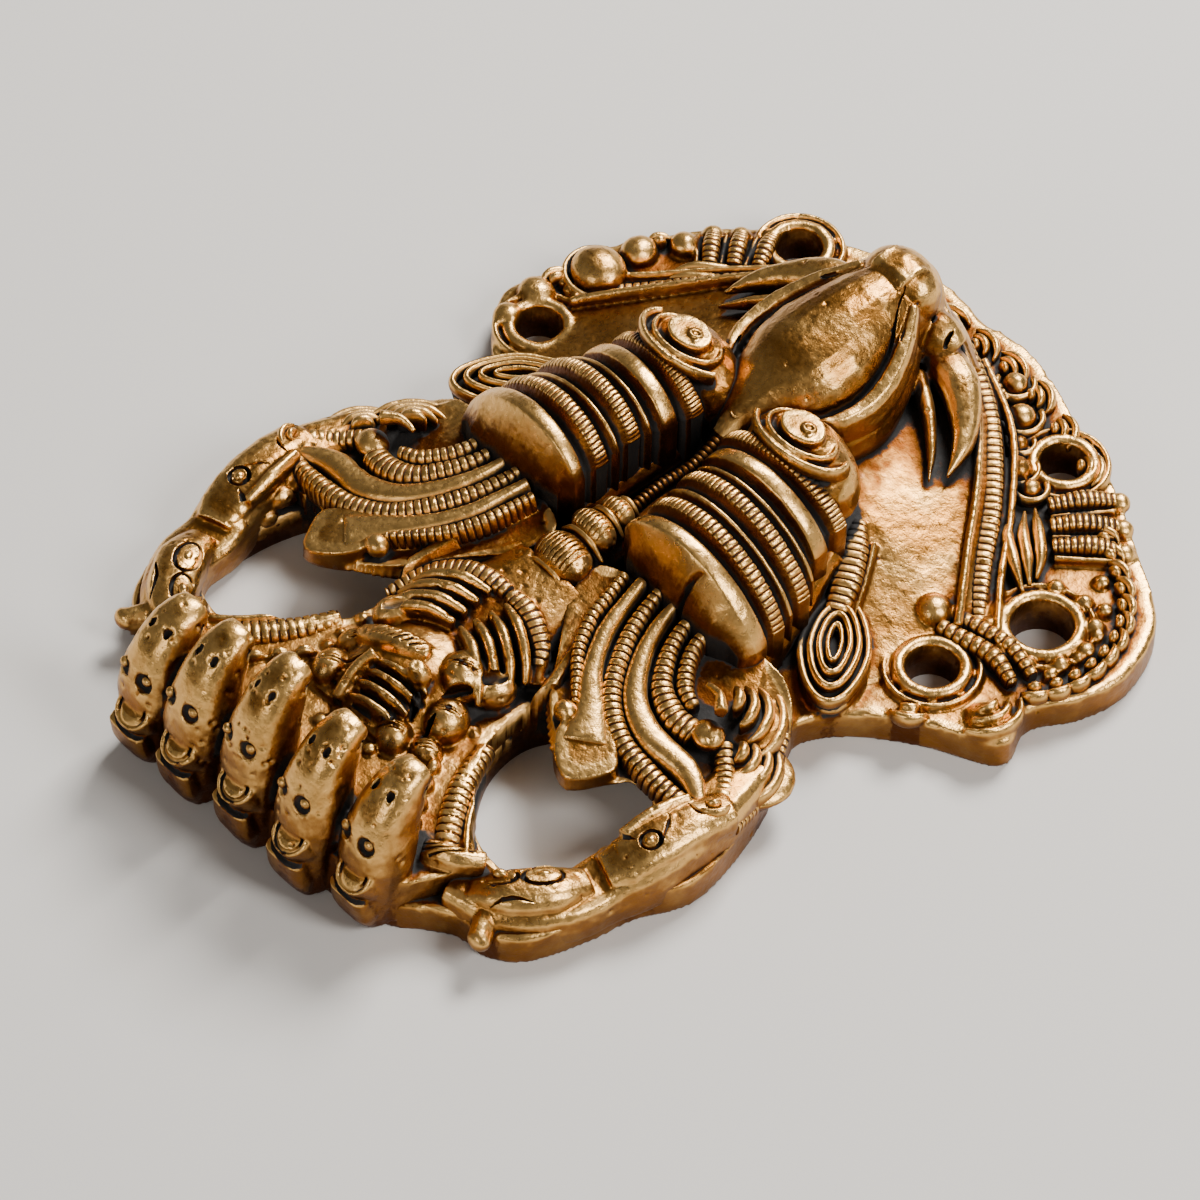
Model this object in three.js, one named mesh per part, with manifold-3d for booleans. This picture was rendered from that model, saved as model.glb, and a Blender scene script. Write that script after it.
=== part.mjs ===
// A brass wall mask of the lion-faced guardian of temple arches, one hollow-backed casting, lying face up.
// Millimetres, +Z up. +Y runs towards the crown, -Y towards the chin, and X across the face.
// Places on the face are given as (across, down, up): across from the middle line, down towards the chin.
import * as THREE from "three";
import { mergeVertices } from "three/addons/utils/BufferGeometryUtils.js";
import Module from "manifold-3d";

const wasm = await Module();
wasm.setup();

// Driving dimensions
const RIM = 4.6; // thickness of the plate that the face stands on
const CROWN_END = -60.5; // the crown's edge, down the face from the knob on the forehead
const CHIN_END = 67.2;
const WIDE_SIDE = 54.4; // from the middle line to the jaw's edge on the wide side, -X
const NARROW_SIDE = 44.6;
const DOME_CREST = 23; // height of the ribbed eyes
const GROOVE = 1.9; // depth of the grooves between their ribs
const HEAD_TOP = 27.0;
const NOSE_TOP = 28.4;
const WALL = 4.2; // thickness of the metal over the hollow back
const LOW = 0.0; // the back rim, which lies on the table
const OVERHANG = 7.6; // height of the fans' tips over the loops' holes

// Plate outlines, from the middle of the crown round to the middle of the chin. The jaw of the
// left side (as worn, +X) is the narrower one.
const CROWN_EDGE = [[0, -56.8], [12, -56], [21, -54], [25, -51], [28.5, -48.6], [33, -48]];
const LOOP_EDGE = [[37, -44.5], [39.5, -37], [40.5, -31], [43.2, -24], [42.2, -16.5], [39.2, -8], [35, -1]];
const WIDE_JAW = [[33.5, 3], [36.8, 8.6], [43.6, 14.2], [52.4, 19.4], [50.4, 25.5], [53.4, 32], [54.4, 39],
  [50.4, 47.6], [41, 53.5], [31, 59], [20.5, 62.8]];
const NARROW_JAW = [[32, 5], [35, 12.5], [40, 17], [44.6, 23], [43, 30], [42.2, 37], [39, 43],
  [35.5, 49.4], [29.5, 57], [20, 62.6]];
const CHIN_EDGE = [[12, 66], [5, 67.2], [0, 66.2]];
const LOOP_HOLE = [[12.5, -22], [12.8, -29], [16.5, -35], [21.5, -39.3], [28, -40], [33, -37.2],
  [34, -31], [33.4, -24], [31, -18.2], [25, -15.6], [17.5, -15.5]];

// Building in the casting's own frame
const ABOVE_ALL = 60;
const MIDDLE = (CROWN_END + CHIN_END) / 2;
const place = (side, across, down, up) => new THREE.Vector3(side * across, MIDDLE - down, up);

function solid(geometry) {
  const bare = geometry.index ? geometry.toNonIndexed() : geometry.clone();
  bare.deleteAttribute("normal");
  bare.deleteAttribute("uv");
  const merged = mergeVertices(bare, 1e-4);
  const build = (triVerts) =>
    new wasm.Manifold(new wasm.Mesh({
      numProp: 3,
      vertProperties: merged.attributes.position.array,
      triVerts,
    }));
  const faces = new Uint32Array(merged.index.array);
  const made = build(faces);
  return made.volume() > 0 ? made : build(faces.reverse());
}

// Moves each corner of a geometry to the place that a function gives for it.
function shaped(geometry, move) {
  const corners = geometry.attributes.position;
  for (let i = 0; i < corners.count; i++) {
    const to = move(corners.getX(i), corners.getY(i), corners.getZ(i));
    corners.setXYZ(i, to.x, to.y, to.z);
  }
  return solid(geometry);
}

function slab(points, bottom, top) {
  const outline = new THREE.Shape(points.map((p) => new THREE.Vector2(p.x, p.y)));
  const g = new THREE.ExtrudeGeometry(outline, { depth: top - bottom, bevelEnabled: false });
  return solid(g.translate(0, 0, bottom));
}

// A bar bent along a line of places, wide at its foot and narrower along its top.
// It goes down to `foot`, or to `sink` under the line.
function bar(places, width, { steps = 6, rise = 1, sink = 2, foot = null, crown = 0.62, ends = 1 } = {}) {
  const line = new THREE.CatmullRomCurve3(places, false, "centripetal");
  const up = new THREE.Vector3(0, 0, 1);
  return shaped(new THREE.BoxGeometry(1, 1, 1, steps, 1, 1), (x, y, z) => {
    const t = x + 0.5;
    const p = line.getPoint(t);
    const across = line.getTangent(t).cross(up).normalize();
    const taper = ends + (1 - ends) * Math.sin(Math.PI * Math.min(Math.max(t, 0.04), 0.96));
    const half = (width / 2) * taper * (z > 0 ? crown : 1);
    p.addScaledVector(across, 2 * y * half);
    if (z > 0) p.z += rise * taper;
    else p.z = foot === null ? p.z - sink : foot;
    return p;
  });
}

function ball(centre, radii, { across = 8, down = 6, tilt = [0, 0, 0] } = {}) {
  const g = new THREE.SphereGeometry(1, across, down);
  g.rotateX(Math.PI / 2).scale(...radii);
  g.rotateX(tilt[0]).rotateY(tilt[1]).rotateZ(tilt[2]);
  return solid(g.translate(centre.x, centre.y, centre.z));
}

// A rounded body along a line of places, with its half width and half depth at each place.
function limb(places, sizes, around = 8) {
  const line = new THREE.CatmullRomCurve3(places, false, "centripetal");
  const steps = places.length - 1;
  const sideways = new THREE.Vector3(1, 0, 0);
  return shaped(new THREE.CylinderGeometry(1, 1, 1, around, steps), (x, y, z) => {
    const n = Math.round((y + 0.5) * steps);
    const [width, depth] = sizes[n];
    const out = sideways.clone().cross(line.getTangent(n / steps)).normalize();
    return places[n].clone().addScaledVector(sideways, x * width).addScaledVector(out, z * depth);
  });
}

// A block whose top follows a height over the face, cut to an outline.
function terrain(outline, height, bottom, step) {
  const xs = outline.map((p) => p.x);
  const ys = outline.map((p) => p.y);
  const [x0, x1, y0, y1] = [Math.min(...xs), Math.max(...xs), Math.min(...ys), Math.max(...ys)];
  const [nx, ny] = [Math.ceil((x1 - x0) / step), Math.ceil((y1 - y0) / step)];
  const block = shaped(new THREE.BoxGeometry(1, 1, 1, nx, ny, 1), (x, y, z) => {
    const px = x0 + (x + 0.5) * (x1 - x0);
    const py = y0 + (y + 0.5) * (y1 - y0);
    return new THREE.Vector3(px, py, z > 0 ? height(px, MIDDLE - py) : bottom - 1);
  });
  return block.intersect(slab(outline, bottom, ABOVE_ALL));
}

const union = (solids) => solids.reduce((all, one) => all.add(one));
const both = (make) => union([make(1), make(-1)]);
const smooth = (points, count) =>
  new THREE.SplineCurve(points.map((p) => new THREE.Vector2(p[0], p[1]))).getPoints(count);
const bump = (value, reach) => Math.exp(-((value / reach) ** 2));

// The face's ground: cheeks that fall from the snout to the jaw's edge, and the snout's ridge
function ground(x, down) {
  const across = Math.abs(x);
  const cheek = RIM + 0.38 * Math.max(0, 37.5 - across) * Math.min(1, Math.max(0, (down - 4) / 22));
  const border = Math.max(0, down - lipDown(across) - 1);
  const fall = Math.max(0, 1 - border / 5);
  return Math.max(RIM, RIM + (cheek - RIM) * fall);
}
const LIP = [[0, 56.5], [9, 53.3], [16, 49], [23, 42.3], [29, 35.4], [35, 29], [37, 27]];
function lipDown(across) {
  for (let i = 1; i < LIP.length; i++) {
    const [[a0, d0], [a1, d1]] = [LIP[i - 1], LIP[i]];
    if (across <= a1) return d0 + ((d1 - d0) * (across - a0)) / (a1 - a0);
  }
  return LIP[LIP.length - 1][1] - (across - LIP[LIP.length - 1][0]);
}

function plate() {
  const half = (side, jaw) =>
    [...CROWN_EDGE, ...LOOP_EDGE, ...jaw, ...CHIN_EDGE].map(([a, d]) => place(side, a, d, 0));
  const outline = [...half(-1, WIDE_JAW), ...half(1, NARROW_JAW).reverse().slice(1, -1)];
  return slab(outline, LOW, RIM);
}

// The face between the brows and the lip, standing on the plate
function cheeks() {
  const outline = [[-37, 25], [-33, 4], [-22, 0], [22, 0], [33, 4], [37, 25], [34.5, 33], [23, 47],
    [0, 61], [-23, 47], [-34.5, 33]].map(([x, d]) => new THREE.Vector3(x, MIDDLE - d, 0));
  return terrain(outline, ground, LOW, 8);
}

// The ribs over each eye, as inner and outer ends (across, down, up), with each rib's width
const RIBS = [
  { inner: [4.4, 0.2, 17.4], outer: [26.6, 2.6, 11.8], width: 4.4, lift: 0 },
  { inner: [4.4, 4.4, 17.9], outer: [26, 6.6, 12], width: 3.4, lift: 0 },
  { inner: [4.2, 9.2, 19], outer: [24.8, 11.8, 12.8], width: 3.6, lift: 0.2 },
  { inner: [3.3, 14.1, 18.6], outer: [21.9, 16.5, 14.6], width: 3.4, lift: 0.4 },
  { inner: [2.3, 17.8, 19], outer: [20.5, 20.6, 15.6], width: 3, lift: 0.6 },
];
const VISOR_DROP = 6.2; // height of the face in front of the first rib
const RIB_ROWS = [[RIBS[0], -0.96, VISOR_DROP + 2], [RIBS[0], -0.86, VISOR_DROP], ...RIBS.flatMap((rib) =>
  [[rib, -0.5, rib === RIBS[0] ? 0.6 : GROOVE], [rib, -0.34, 0], [rib, 0.36, 0], [rib, 0.5, GROOVE]])];
function eye(side) {
  const arcs = 6;
  const last = RIB_ROWS.length - 1;
  const dome = shaped(new THREE.BoxGeometry(1, 1, 1, arcs, last, 1), (x, y, z) => {
    const t = x + 0.5;
    const [rib, shift, lower] = RIB_ROWS[Math.round((y + 0.5) * last)];
    const along = (k) => rib.inner[k] + (rib.outer[k] - rib.inner[k]) * t;
    const rise = DOME_CREST + rib.lift - (rib.inner[2] + rib.outer[2]) / 2;
    const up = along(2) + rise * Math.pow(Math.max(0, 1 - (2 * t - 1) ** 2), 0.7) - lower;
    return place(side, along(0), along(1) + shift * rib.width, z > 0 ? up : RIM - 1);
  });
  const lids = ball(place(side, 10.6, 23.6, 16.4), [9, 6, 7.4], { across: 10, down: 6 });
  const pupil = ball(place(side, 10.4, 23.9, 22.8), [4.6, 3.4, 2.8], { across: 8, down: 4 });
  return union([dome, lids, pupil]);
}

// The fans that sweep up and out from the brows
const FAN_EDGE = [[4.5, -3.5], [14, -1], [26.5, 3], [34, 1], [39, -8], [41.5, -16], [37, -20.5], [29.5, -21],
  [28, -22.5], [24, -28.4], [19.2, -25.5], [14.5, -21.5], [9.5, -15.5], [4.5, -9]];
const fanTop = (x, down) => {
  const across = Math.abs(x);
  const edge = Math.max(0, across - 30) * Math.min(1, Math.max(0, (down + 16) / 8));
  return 15.2 - 0.17 * Math.max(0, across - 10) - 0.35 * edge + 0.13 * Math.min(0, down + 2);
};
const FAN_STRIPS = [
  { line: [[9, -6.5], [10.8, -12], [14, -16.5], [17.6, -20.3]], width: 2.4, rise: 1.4 },
  { line: [[11.6, -6], [13.6, -12.4], [17.5, -16.8], [22.5, -22.5]], width: 2.6, rise: 1.3 },
  { line: [[14.4, -4.5], [15.8, -10], [20, -16.2], [25.5, -18.9], [31, -19.2], [36.5, -18.4]], width: 2.4,
    rise: 1.5 },
  { line: [[16.8, -4.2], [18.4, -9.6], [22, -14], [27, -15.9], [33, -15.2], [38, -17.2]], width: 3.0,
    rise: 1.2 },
  { line: [[19, -3.4], [20.3, -7.4], [23.4, -10.8], [27.8, -11.6], [31.6, -10.6]], width: 2.8, rise: 1.5 },
  { line: [[22, -3], [23, -5.6], [25.6, -7.6], [28.8, -8]], width: 2.2, rise: 1.4 },
  { line: [[31.8, -7.5], [36.3, -10.6], [40, -14.6]], width: 3.0, rise: 1.2 },
];
function fan(side) {
  const body = terrain(FAN_EDGE.map(([a, d]) => place(side, a, d, 0)), fanTop, LOW, 16);
  const strips = FAN_STRIPS.map(({ line, width, rise }) =>
    bar(line.map(([a, d]) => place(side, a, d, fanTop(a, d))), width,
      { steps: line.length > 4 ? 4 : 3, rise, sink: 1.6 }));
  const shells = [[29.5, -3.2], [33.5, -4.6]].map(([a, d]) =>
    ball(place(side, a, d, fanTop(a, d) - 0.6), [2.4, 2.6, 2.4], { across: 6, down: 3 }));
  const scroll = ball(place(side, 19, -21.6, fanTop(19, -21.6)), [1.8, 1.8, 2], { across: 6, down: 4 });
  return union([body, ...strips, ...shells, scroll]);
}

// The looped necks with their two beasts' heads
const LOOP = [[36.4, -8, 9], [38.2, -17, 9.8], [38.2, -26, 9.6], [36.6, -32, 7.2], [35.6, -38, 7.4],
  [31.5, -43.5, 7.6], [25, -45.5, 8]];
function loop(side) {
  const beast = (line, width, rise) =>
    bar(line.map((p) => place(side, ...p)), width, { steps: 3, rise, foot: RIM, crown: 0.55 });
  const ring = bar(LOOP.map((p) => place(side, ...p)), 8.6, { steps: 9, rise: 0, foot: LOW, crown: 0.8 });
  const snout = beast([[39.6, -16, 9.4], [38.6, -23, 10.2], [37.6, -30.2, 8.6]], 7.4, 0.8);
  const eyeBall = ball(place(side, 38.4, -25.4, 10.2), [1.2, 1.2, 1.4], { across: 6, down: 4 });
  const second = beast([[35.6, -34.5, 7.6], [34, -40, 9.2], [30, -44.6, 8]], 7, 0.6);
  const stub = bar([place(side, 31.5, -46.5, 6.2), place(side, 33.4, -49.6, 5.4)], 3.4,
    { steps: 1, rise: 0, foot: 1 });
  return union([ring, snout, eyeBall, second, stub]);
}

// The crown: five hooded snakes side by side, struts and a small lion's face under them
// Each head's place across, how far it stands back towards the chin, and how much lower it is than the middle one
const SNAKES = [[-18.4, 2.9, 5.4], [-9.7, 0.5, 2.4], [0, 0, 0], [9.7, -0.3, 2.4], [18.6, -0.3, 5.4]];
function snake([x, drop, short]) {
  const tall = (HEAD_TOP - short) / HEAD_TOP;
  const at = (down, up, across = 0) => place(1, x + across, down + drop, up * tall);
  const spine = [[-55.6, 1.5], [-56, 8], [-55.2, 14], [-53.4, 20], [-50.6, 24.6], [-48.6, 26.4]];
  const head = limb(spine.map(([down, up]) => at(down, up)),
    [[4.2, 4.6], [4.2, 3.9], [4.5, 4.3], [4.8, 4.5], [4.1, 4], [2.4, 2.4]], 7);
  const disc = ball(at(-59.4, 12.4), [2.9, 1.3, 3.2], { across: 6, down: 3 });
  const eyes = [-1, 1].map((s) => ball(at(-57.1, 18.6, s * 2.6), [1.1, 1, 1.2], { across: 4, down: 3 }));
  return union([head, disc, ...eyes]);
}
function crown() {
  const snakes = SNAKES.map(snake);
  const bandEdge = [[-27, -44], [-22.5, -53.5], [-10, -57], [10, -57], [22.5, -53.5], [27, -44], [17, -37],
    [13.5, -30], [13.5, -20], [8, -8], [-8, -8], [-13.5, -20], [-13.5, -30], [-17, -37]];
  const stem = slab(bandEdge.map(([x, d]) => new THREE.Vector3(x, MIDDLE - d, 0)), LOW, 8.4);
  const struts = both((side) => union([
    bar([[24.5, -44, 8], [19, -37, 7.6], [13.4, -27, 7.6], [11.6, -18, 9]].map((p) => place(side, ...p)), 3.4,
      { steps: 3, rise: 1, foot: LOW }),
    bar([[20.5, -45, 8.8], [15.2, -37.5, 8.4], [12.2, -31, 8.4]].map((p) => place(side, ...p)), 3.4,
      { steps: 2, rise: 1.4, foot: RIM }),
    bar([[2, -12.5, 13.6], [6.8, -12.3, 13.2], [8.6, -12, 11]].map((p) => place(side, ...p)), 3,
      { steps: 2, rise: 1.6, foot: RIM }),
  ]));
  const slope = bar([[0, -38, 9], [0, -22, 11.4], [0, -8, 14]].map((p) => place(1, ...p)), 23,
    { steps: 2, rise: 0, foot: LOW, crown: 0.72 });
  return union([stem, slope, struts, smallLion(), ...snakes]);
}
function smallLion() {
  const skull = ball(place(1, 0, -29, 9), [9.4, 11.5, 7.6], { across: 8, down: 6 });
  const hair = [-36.6, -33.4].map((d, n) =>
    bar([place(1, -3, d, 14.4 + n), place(1, 3, d, 14.4 + n)], 1.7, { steps: 1, rise: 1.4 }));
  const nose = bar([place(1, 0, -30.6, 17.2), place(1, 0, -25.6, 17.6)], 3.2, { steps: 2, rise: 1.2 });
  const features = both((side) => union([
    ball(place(side, 3.9, -30.4, 15.6), [1.9, 1.9, 1.7], { across: 6, down: 3 }),
    ball(place(side, 4.8, -25.2, 14.2), [2.9, 2.5, 2.6], { across: 6, down: 3 }),
    ball(place(side, 8.6, -31, 11.8), [2, 3, 2.4], { across: 6, down: 3 }),
  ]));
  const smile = [-22.6, -19.8, -17].map((d, n) => {
    const wide = 6.4 + n * 0.6;
    return bar([place(-1, wide, d - 2.4, 11.6), place(1, 0, d + 0.6, 13.4), place(1, wide, d - 2.4, 11.6)], 1.5,
      { steps: 2, rise: 1.2 });
  });
  return union([skull, ...hair, nose, features, ...smile]);
}

// The forehead's knob and the seam down between the eyes
function forehead() {
  const knob = [[0, -6, 14.4, 5], [0, -1, 15.6, 4.6], [0, 3, 16, 3.2]].map(([x, d, up, r]) =>
    ball(place(1, x, d, up), [r, r * 0.76, r * 0.8], { across: 8, down: 4 }));
  const seam = bar([place(1, 0, 2, 14.6), place(1, 0, 12, 15.4), place(1, 0, 21, 18.6)], 2,
    { steps: 3, rise: 1, sink: 8 });
  return union([...knob, seam]);
}

// The snout: a broad muzzle that rises to a round tip, with a wing over each nostril. Its sections
// are given as down, up, half width and half depth.
const MUZZLE = [[18, 13.5, 2.4, 5.4], [24, 14.4, 5.2, 7], [32, 15.6, 8.4, 8.6], [40, 16.8, 8.6, 9.8],
  [48, 18, 6.8, 9.8], [52.6, 19.4, 5, 8], [55, 19.6, 2.6, 4.4]];
const WING = [[7.6, 27.6, 19], [10, 34, 17.6], [9.2, 40, 19.4], [4.6, 46.6, 23.6]];
function nose() {
  const muzzle = limb(MUZZLE.map(([d, up]) => place(1, 0, d, up)), MUZZLE.map(([, , w, h]) => [w, h]));
  const tip = ball(place(1, 0, 50.4, NOSE_TOP - 4.4), [4.8, 4.4, 4.4], { across: 8, down: 6 });
  const wings = both((side) => union([
    bar(WING.map((p) => place(side, ...p)), 2.2, { steps: 4, rise: 1.2, sink: 5 }),
    ball(place(side, 5.4, 51.4, 17.6), [3.6, 4, 4.8], { across: 8, down: 4 }),
  ]));
  const lip = bar([[-10, 51.6, 8.6], [0, 57, 11], [10, 51.6, 8.6]].map(([x, d, up]) => place(1, x, d, up)), 9,
    { steps: 2, rise: 1.4, foot: LOW, crown: 0.6 });
  return union([muzzle, tip, wings, lip]);
}

const LONG_FANG = [[8.4, 50.4, 16.4], [13.6, 48.4, 15.4], [17.8, 45, 13.8], [20.2, 40.4, 12]];
const SHORT_FANG = [[8.6, 46.4, 16], [13.6, 43, 14.2], [18.8, 38.2, 12]];
function fangs(side) {
  const long = bar(LONG_FANG.map((p) => place(side, ...p)), 5.4, { steps: 4, rise: 2, sink: 6, ends: 0.25 });
  const short = bar(SHORT_FANG.map((p) => place(side, ...p)), 2.2, { steps: 3, rise: 1.4, sink: 4, ends: 0.3 });
  return union([long, short]);
}

// The lip's edges with the roped band between them
function lips(side) {
  const line = (shift, drop, up) => LIP.slice(0, 6).map(([a, d]) =>
    place(side, a + shift * 0.7, d + shift * 0.7, ground(a, d) * (a < 1 ? 0.92 : 1) + up - drop));
  return union([
    bar(line(-0.2, 0, 0), 1.5, { steps: 4, rise: 1.4, foot: LOW }),
    bar(line(2.6, 1.2, 0), 2.6, { steps: 4, rise: 1.2, foot: LOW }),
    bar(line(4.9, 2.6, 0), 1.4, { steps: 4, rise: 1.4, foot: LOW }),
  ]);
}

// What decorates the jaw's edge: rings round the holes, an eye-shaped leaf, knobs, cords and teeth
const HOLES = {
  wide: [[38.2, 20.6, 3.4], [42.2, 35.6, 4.0], [24.6, 56.4, 3.1]],
  narrow: [[36.2, 21.8, 3.1], [24.6, 56.4, 3.1]],
};
const JAW = {
  wide: {
    rings: [[38.2, 20.6, 5.6], [42.2, 35.6, 6.4], [24.6, 56.4, 5.2]],
    knobs: [[31.6, 27.4, 2.2], [49.6, 20.4, 2.0], [50.6, 33, 1.8], [50.8, 38, 1.8], [49.4, 42.6, 1.8],
      [46, 46.6, 1.8], [16.6, 57, 1.9], [20.4, 51, 1.8], [10.4, 62.4, 1.8]],
    cords: [[[33.5, 27.2], [39, 28.2], [45, 28.6]], [[27, 46], [31, 43.6], [35, 42]], [[29, 50], [34, 55]],
      [[32.5, 48.5], [37.6, 53]], [[36, 47.2], [41, 51]], [[43.6, 22], [45, 27.6]], [[46.5, 22.6], [46.8, 28.4]]],
  },
  narrow: {
    rings: [[36.2, 21.8, 5.0], [24.6, 56.4, 5.2]],
    knobs: [[37.8, 33.6, 4.0], [37.4, 39, 2.4], [41, 24.6, 2.8], [34.6, 45.4, 2.4], [32, 50, 2.0], [16.6, 57, 1.9],
      [8, 62, 1.6]],
    cords: [[[33.2, 28.6], [38, 28]], [[27.6, 48], [31, 52]]],
  },
};
const LEAF_TURN = 0.72; // of the eye-shaped leaf beside the cheek, in radians
function jaw(side, kind) {
  const top = RIM;
  const rings = JAW[kind].rings.map(([a, d, r]) =>
    ball(place(side, a, d, top - 0.4), [r, r * 0.92, 2.6], { across: 8, down: 4 }));
  const knobs = JAW[kind].knobs.map(([a, d, r]) =>
    ball(place(side, a, d, top + r * 0.3), [r, r, r * 0.9], { across: 6, down: 3 }));
  const cords = JAW[kind].cords.map((line) => bar(line.map(([a, d]) => place(side, a, d, top)), 2.2,
    { steps: 1, rise: 1.6, sink: 1.5 }));
  const turn = { across: 8, down: 4, tilt: [0, 0, -side * LEAF_TURN] };
  const leaf = [[17, 8.8, 2.6], [11, 4.2, 4.2]].map(([long, wide, up]) =>
    ball(place(side, 30, 11.6, top + 1.2), [wide / 2, long / 2, up], turn));
  const column = bar([[24.6, 17.6, 8], [22.8, 22.6, 8.6], [19, 27.6, 10]].map((p) => place(side, ...p)), 4.2,
    { steps: 3, rise: 1.8, foot: RIM - 1 });
  return union([...rings, ...knobs, ...cords, ...leaf, column]);
}
function loopHoles(top) {
  return both((side) => slab(smooth([...LOOP_HOLE, LOOP_HOLE[0]], 16).slice(0, -1).map((p) =>
    place(side, p.x, p.y, 0)), -1, top));
}

function jawHoles() {
  const cut = (side, [a, d, r]) => {
    const at = place(side, a, d, 0);
    return solid(new THREE.CylinderGeometry(r, r, 40, 10).rotateX(Math.PI / 2).translate(at.x, at.y, at.z));
  };
  return union([...HOLES.wide.map((h) => cut(-1, h)), ...HOLES.narrow.map((h) => cut(1, h))]);
}

// The hollow back follows the relief at the thickness of the wall
function hollow() {
  const edge = [[-30, 24], [-27, 6], [-20, 1], [20, 1], [27, 6], [30, 24], [25, 33], [13, 45], [0, 52], [-13, 45],
    [-25, 33]].map(([x, d]) => new THREE.Vector3(x, MIDDLE - d, 0));
  const ceiling = (x, down) => {
    const across = Math.abs(x);
    const domes = 14.5 * bump(across - 14, 7) * bump(down - 12, 11);
    const snout = 15 * bump(across, 6.5) * bump(down - 39, 13);
    const seam = bump(across, 5) * bump(down - 2, 12); // the metal is thickest under the knob
    return Math.max(1, (ground(x, down) - WALL) * (1 - seam), domes + 1.6, snout + 1.6);
  };
  return terrain(edge, ceiling, -1, 7);
}

const casting = union([
  union([plate(), both(loop), crown(), cheeks()]).subtract(loopHoles(ABOVE_ALL)),
  both(fan).subtract(loopHoles(OVERHANG)),
  both(eye), forehead(), nose(), both(fangs), both(lips), jaw(-1, "wide"), jaw(1, "narrow"),
]).subtract(jawHoles()).subtract(hollow());

function meshOf(name, made, material) {
  const { vertProperties, numProp, triVerts } = made.getMesh();
  const corners = new Float32Array((vertProperties.length / numProp) * 3);
  for (let i = 0; i < corners.length / 3; i++)
    corners.set(vertProperties.subarray(i * numProp, i * numProp + 3), i * 3);
  const g = new THREE.BufferGeometry();
  g.setAttribute("position", new THREE.BufferAttribute(corners, 3));
  g.setIndex(new THREE.BufferAttribute(triVerts, 1));
  g.translate((WIDE_SIDE - NARROW_SIDE) / 2, 0, 0); // the origin is in the middle of the whole width
  g.computeVertexNormals();
  const mesh = new THREE.Mesh(g, material);
  mesh.name = name;
  return mesh;
}

const brass = new THREE.MeshStandardMaterial({ color: 0xb5813f, roughness: 0.38, metalness: 1 });
const mask = new THREE.Group();
mask.add(meshOf("mask_casting", casting, brass));

export default mask;
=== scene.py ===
"""A cast brass wall mask, the lion-faced guardian with a crown of snakes, lying face up in studio light.

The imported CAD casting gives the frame. Every form here is made in millimetres in the casting's own places:
across from the middle line, down from the knob on the forehead towards the chin, and up from the back rim.
"""

import math

import bmesh
import bpy
import numpy as np
from mathutils import Matrix, Vector


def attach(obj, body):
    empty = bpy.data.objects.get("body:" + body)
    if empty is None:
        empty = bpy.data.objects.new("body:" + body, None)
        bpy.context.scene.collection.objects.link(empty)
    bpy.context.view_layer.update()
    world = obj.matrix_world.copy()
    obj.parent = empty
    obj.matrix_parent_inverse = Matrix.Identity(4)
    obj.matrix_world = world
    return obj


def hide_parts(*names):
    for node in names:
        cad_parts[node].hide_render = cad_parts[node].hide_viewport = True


bl_info = {
    "name": "Brass Guardian Mask",
    "version": (1, 0, 0),
    "blender": (4, 5, 0),
    "location": "View3D > Sidebar > Brass Mask",
    # The patina here carries painted shade and highlights as well
    "description": "Builds a cast brass guardian mask with patina around its packed solid",
    "category": "Object",
}

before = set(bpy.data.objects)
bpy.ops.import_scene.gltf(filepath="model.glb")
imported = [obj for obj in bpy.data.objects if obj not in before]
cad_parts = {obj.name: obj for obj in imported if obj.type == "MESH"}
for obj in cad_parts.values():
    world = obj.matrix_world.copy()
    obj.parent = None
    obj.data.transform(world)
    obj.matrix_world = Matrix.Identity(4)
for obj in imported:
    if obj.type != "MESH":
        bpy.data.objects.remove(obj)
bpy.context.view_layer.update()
NODE = "mask_casting"
MM = 0.001
PIECES = []  # the finished pieces, in the order they are made

# Places of the casting in its own frame
SHIFT = 4.9  # the face's middle line lies to one side of the origin, because one jaw is wider
MIDDLE = 3.35
RIM = 4.6

CROWN_EDGE = [(0, -56.8), (12, -56), (21, -54), (25, -51), (28.5, -48.6), (33, -48)]
LOOP_EDGE = [(37, -44.5), (39.5, -37), (40.5, -31), (43.2, -24), (42.2, -16.5), (39.2, -8), (35, -1)]
WIDE_JAW = [(33.5, 3), (36.8, 8.6), (43.6, 14.2), (52.2, 19.4), (50.4, 25.5), (53.4, 32), (54.2, 39),
            (50.4, 47.6), (41, 53.5), (31, 59), (20.5, 62.8)]
NARROW_JAW = [(32, 5), (35, 12.5), (40, 17), (44.4, 23), (43, 30), (42.2, 37), (39, 43), (35.5, 49.4),
              (29.5, 57), (20, 62.6)]
CHIN_EDGE = [(12, 66), (5, 67), (0, 66.2)]
LOOP_HOLE = [(12.5, -22), (12.8, -29), (16.5, -35), (21.5, -39.3), (28, -40), (33, -37.2), (34, -31),
             (33.4, -24), (31, -18.2), (25, -15.6), (17.5, -15.5)]
HOLES = {-1: [(38.2, 20.6, 3.4), (42.2, 35.6, 4.0), (24.6, 56.4, 3.1)],
         1: [(36.2, 21.8, 3.1), (24.6, 56.4, 3.1)]}
LIP = [(0, 56.5), (9, 53.3), (16, 49.2), (23, 42.4), (29, 35.2), (35, 29), (37, 27)]


# Geometry helpers, all in millimetres
def spot(side, across, down, up):
    """A place in the casting's frame. side is -1 on the wide jaw's side and 1 on the other."""
    return (SHIFT + side * across, MIDDLE - down, up)


def spots(side, points):
    """Several such places on one side."""
    return [spot(side, *p) for p in points]


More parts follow.
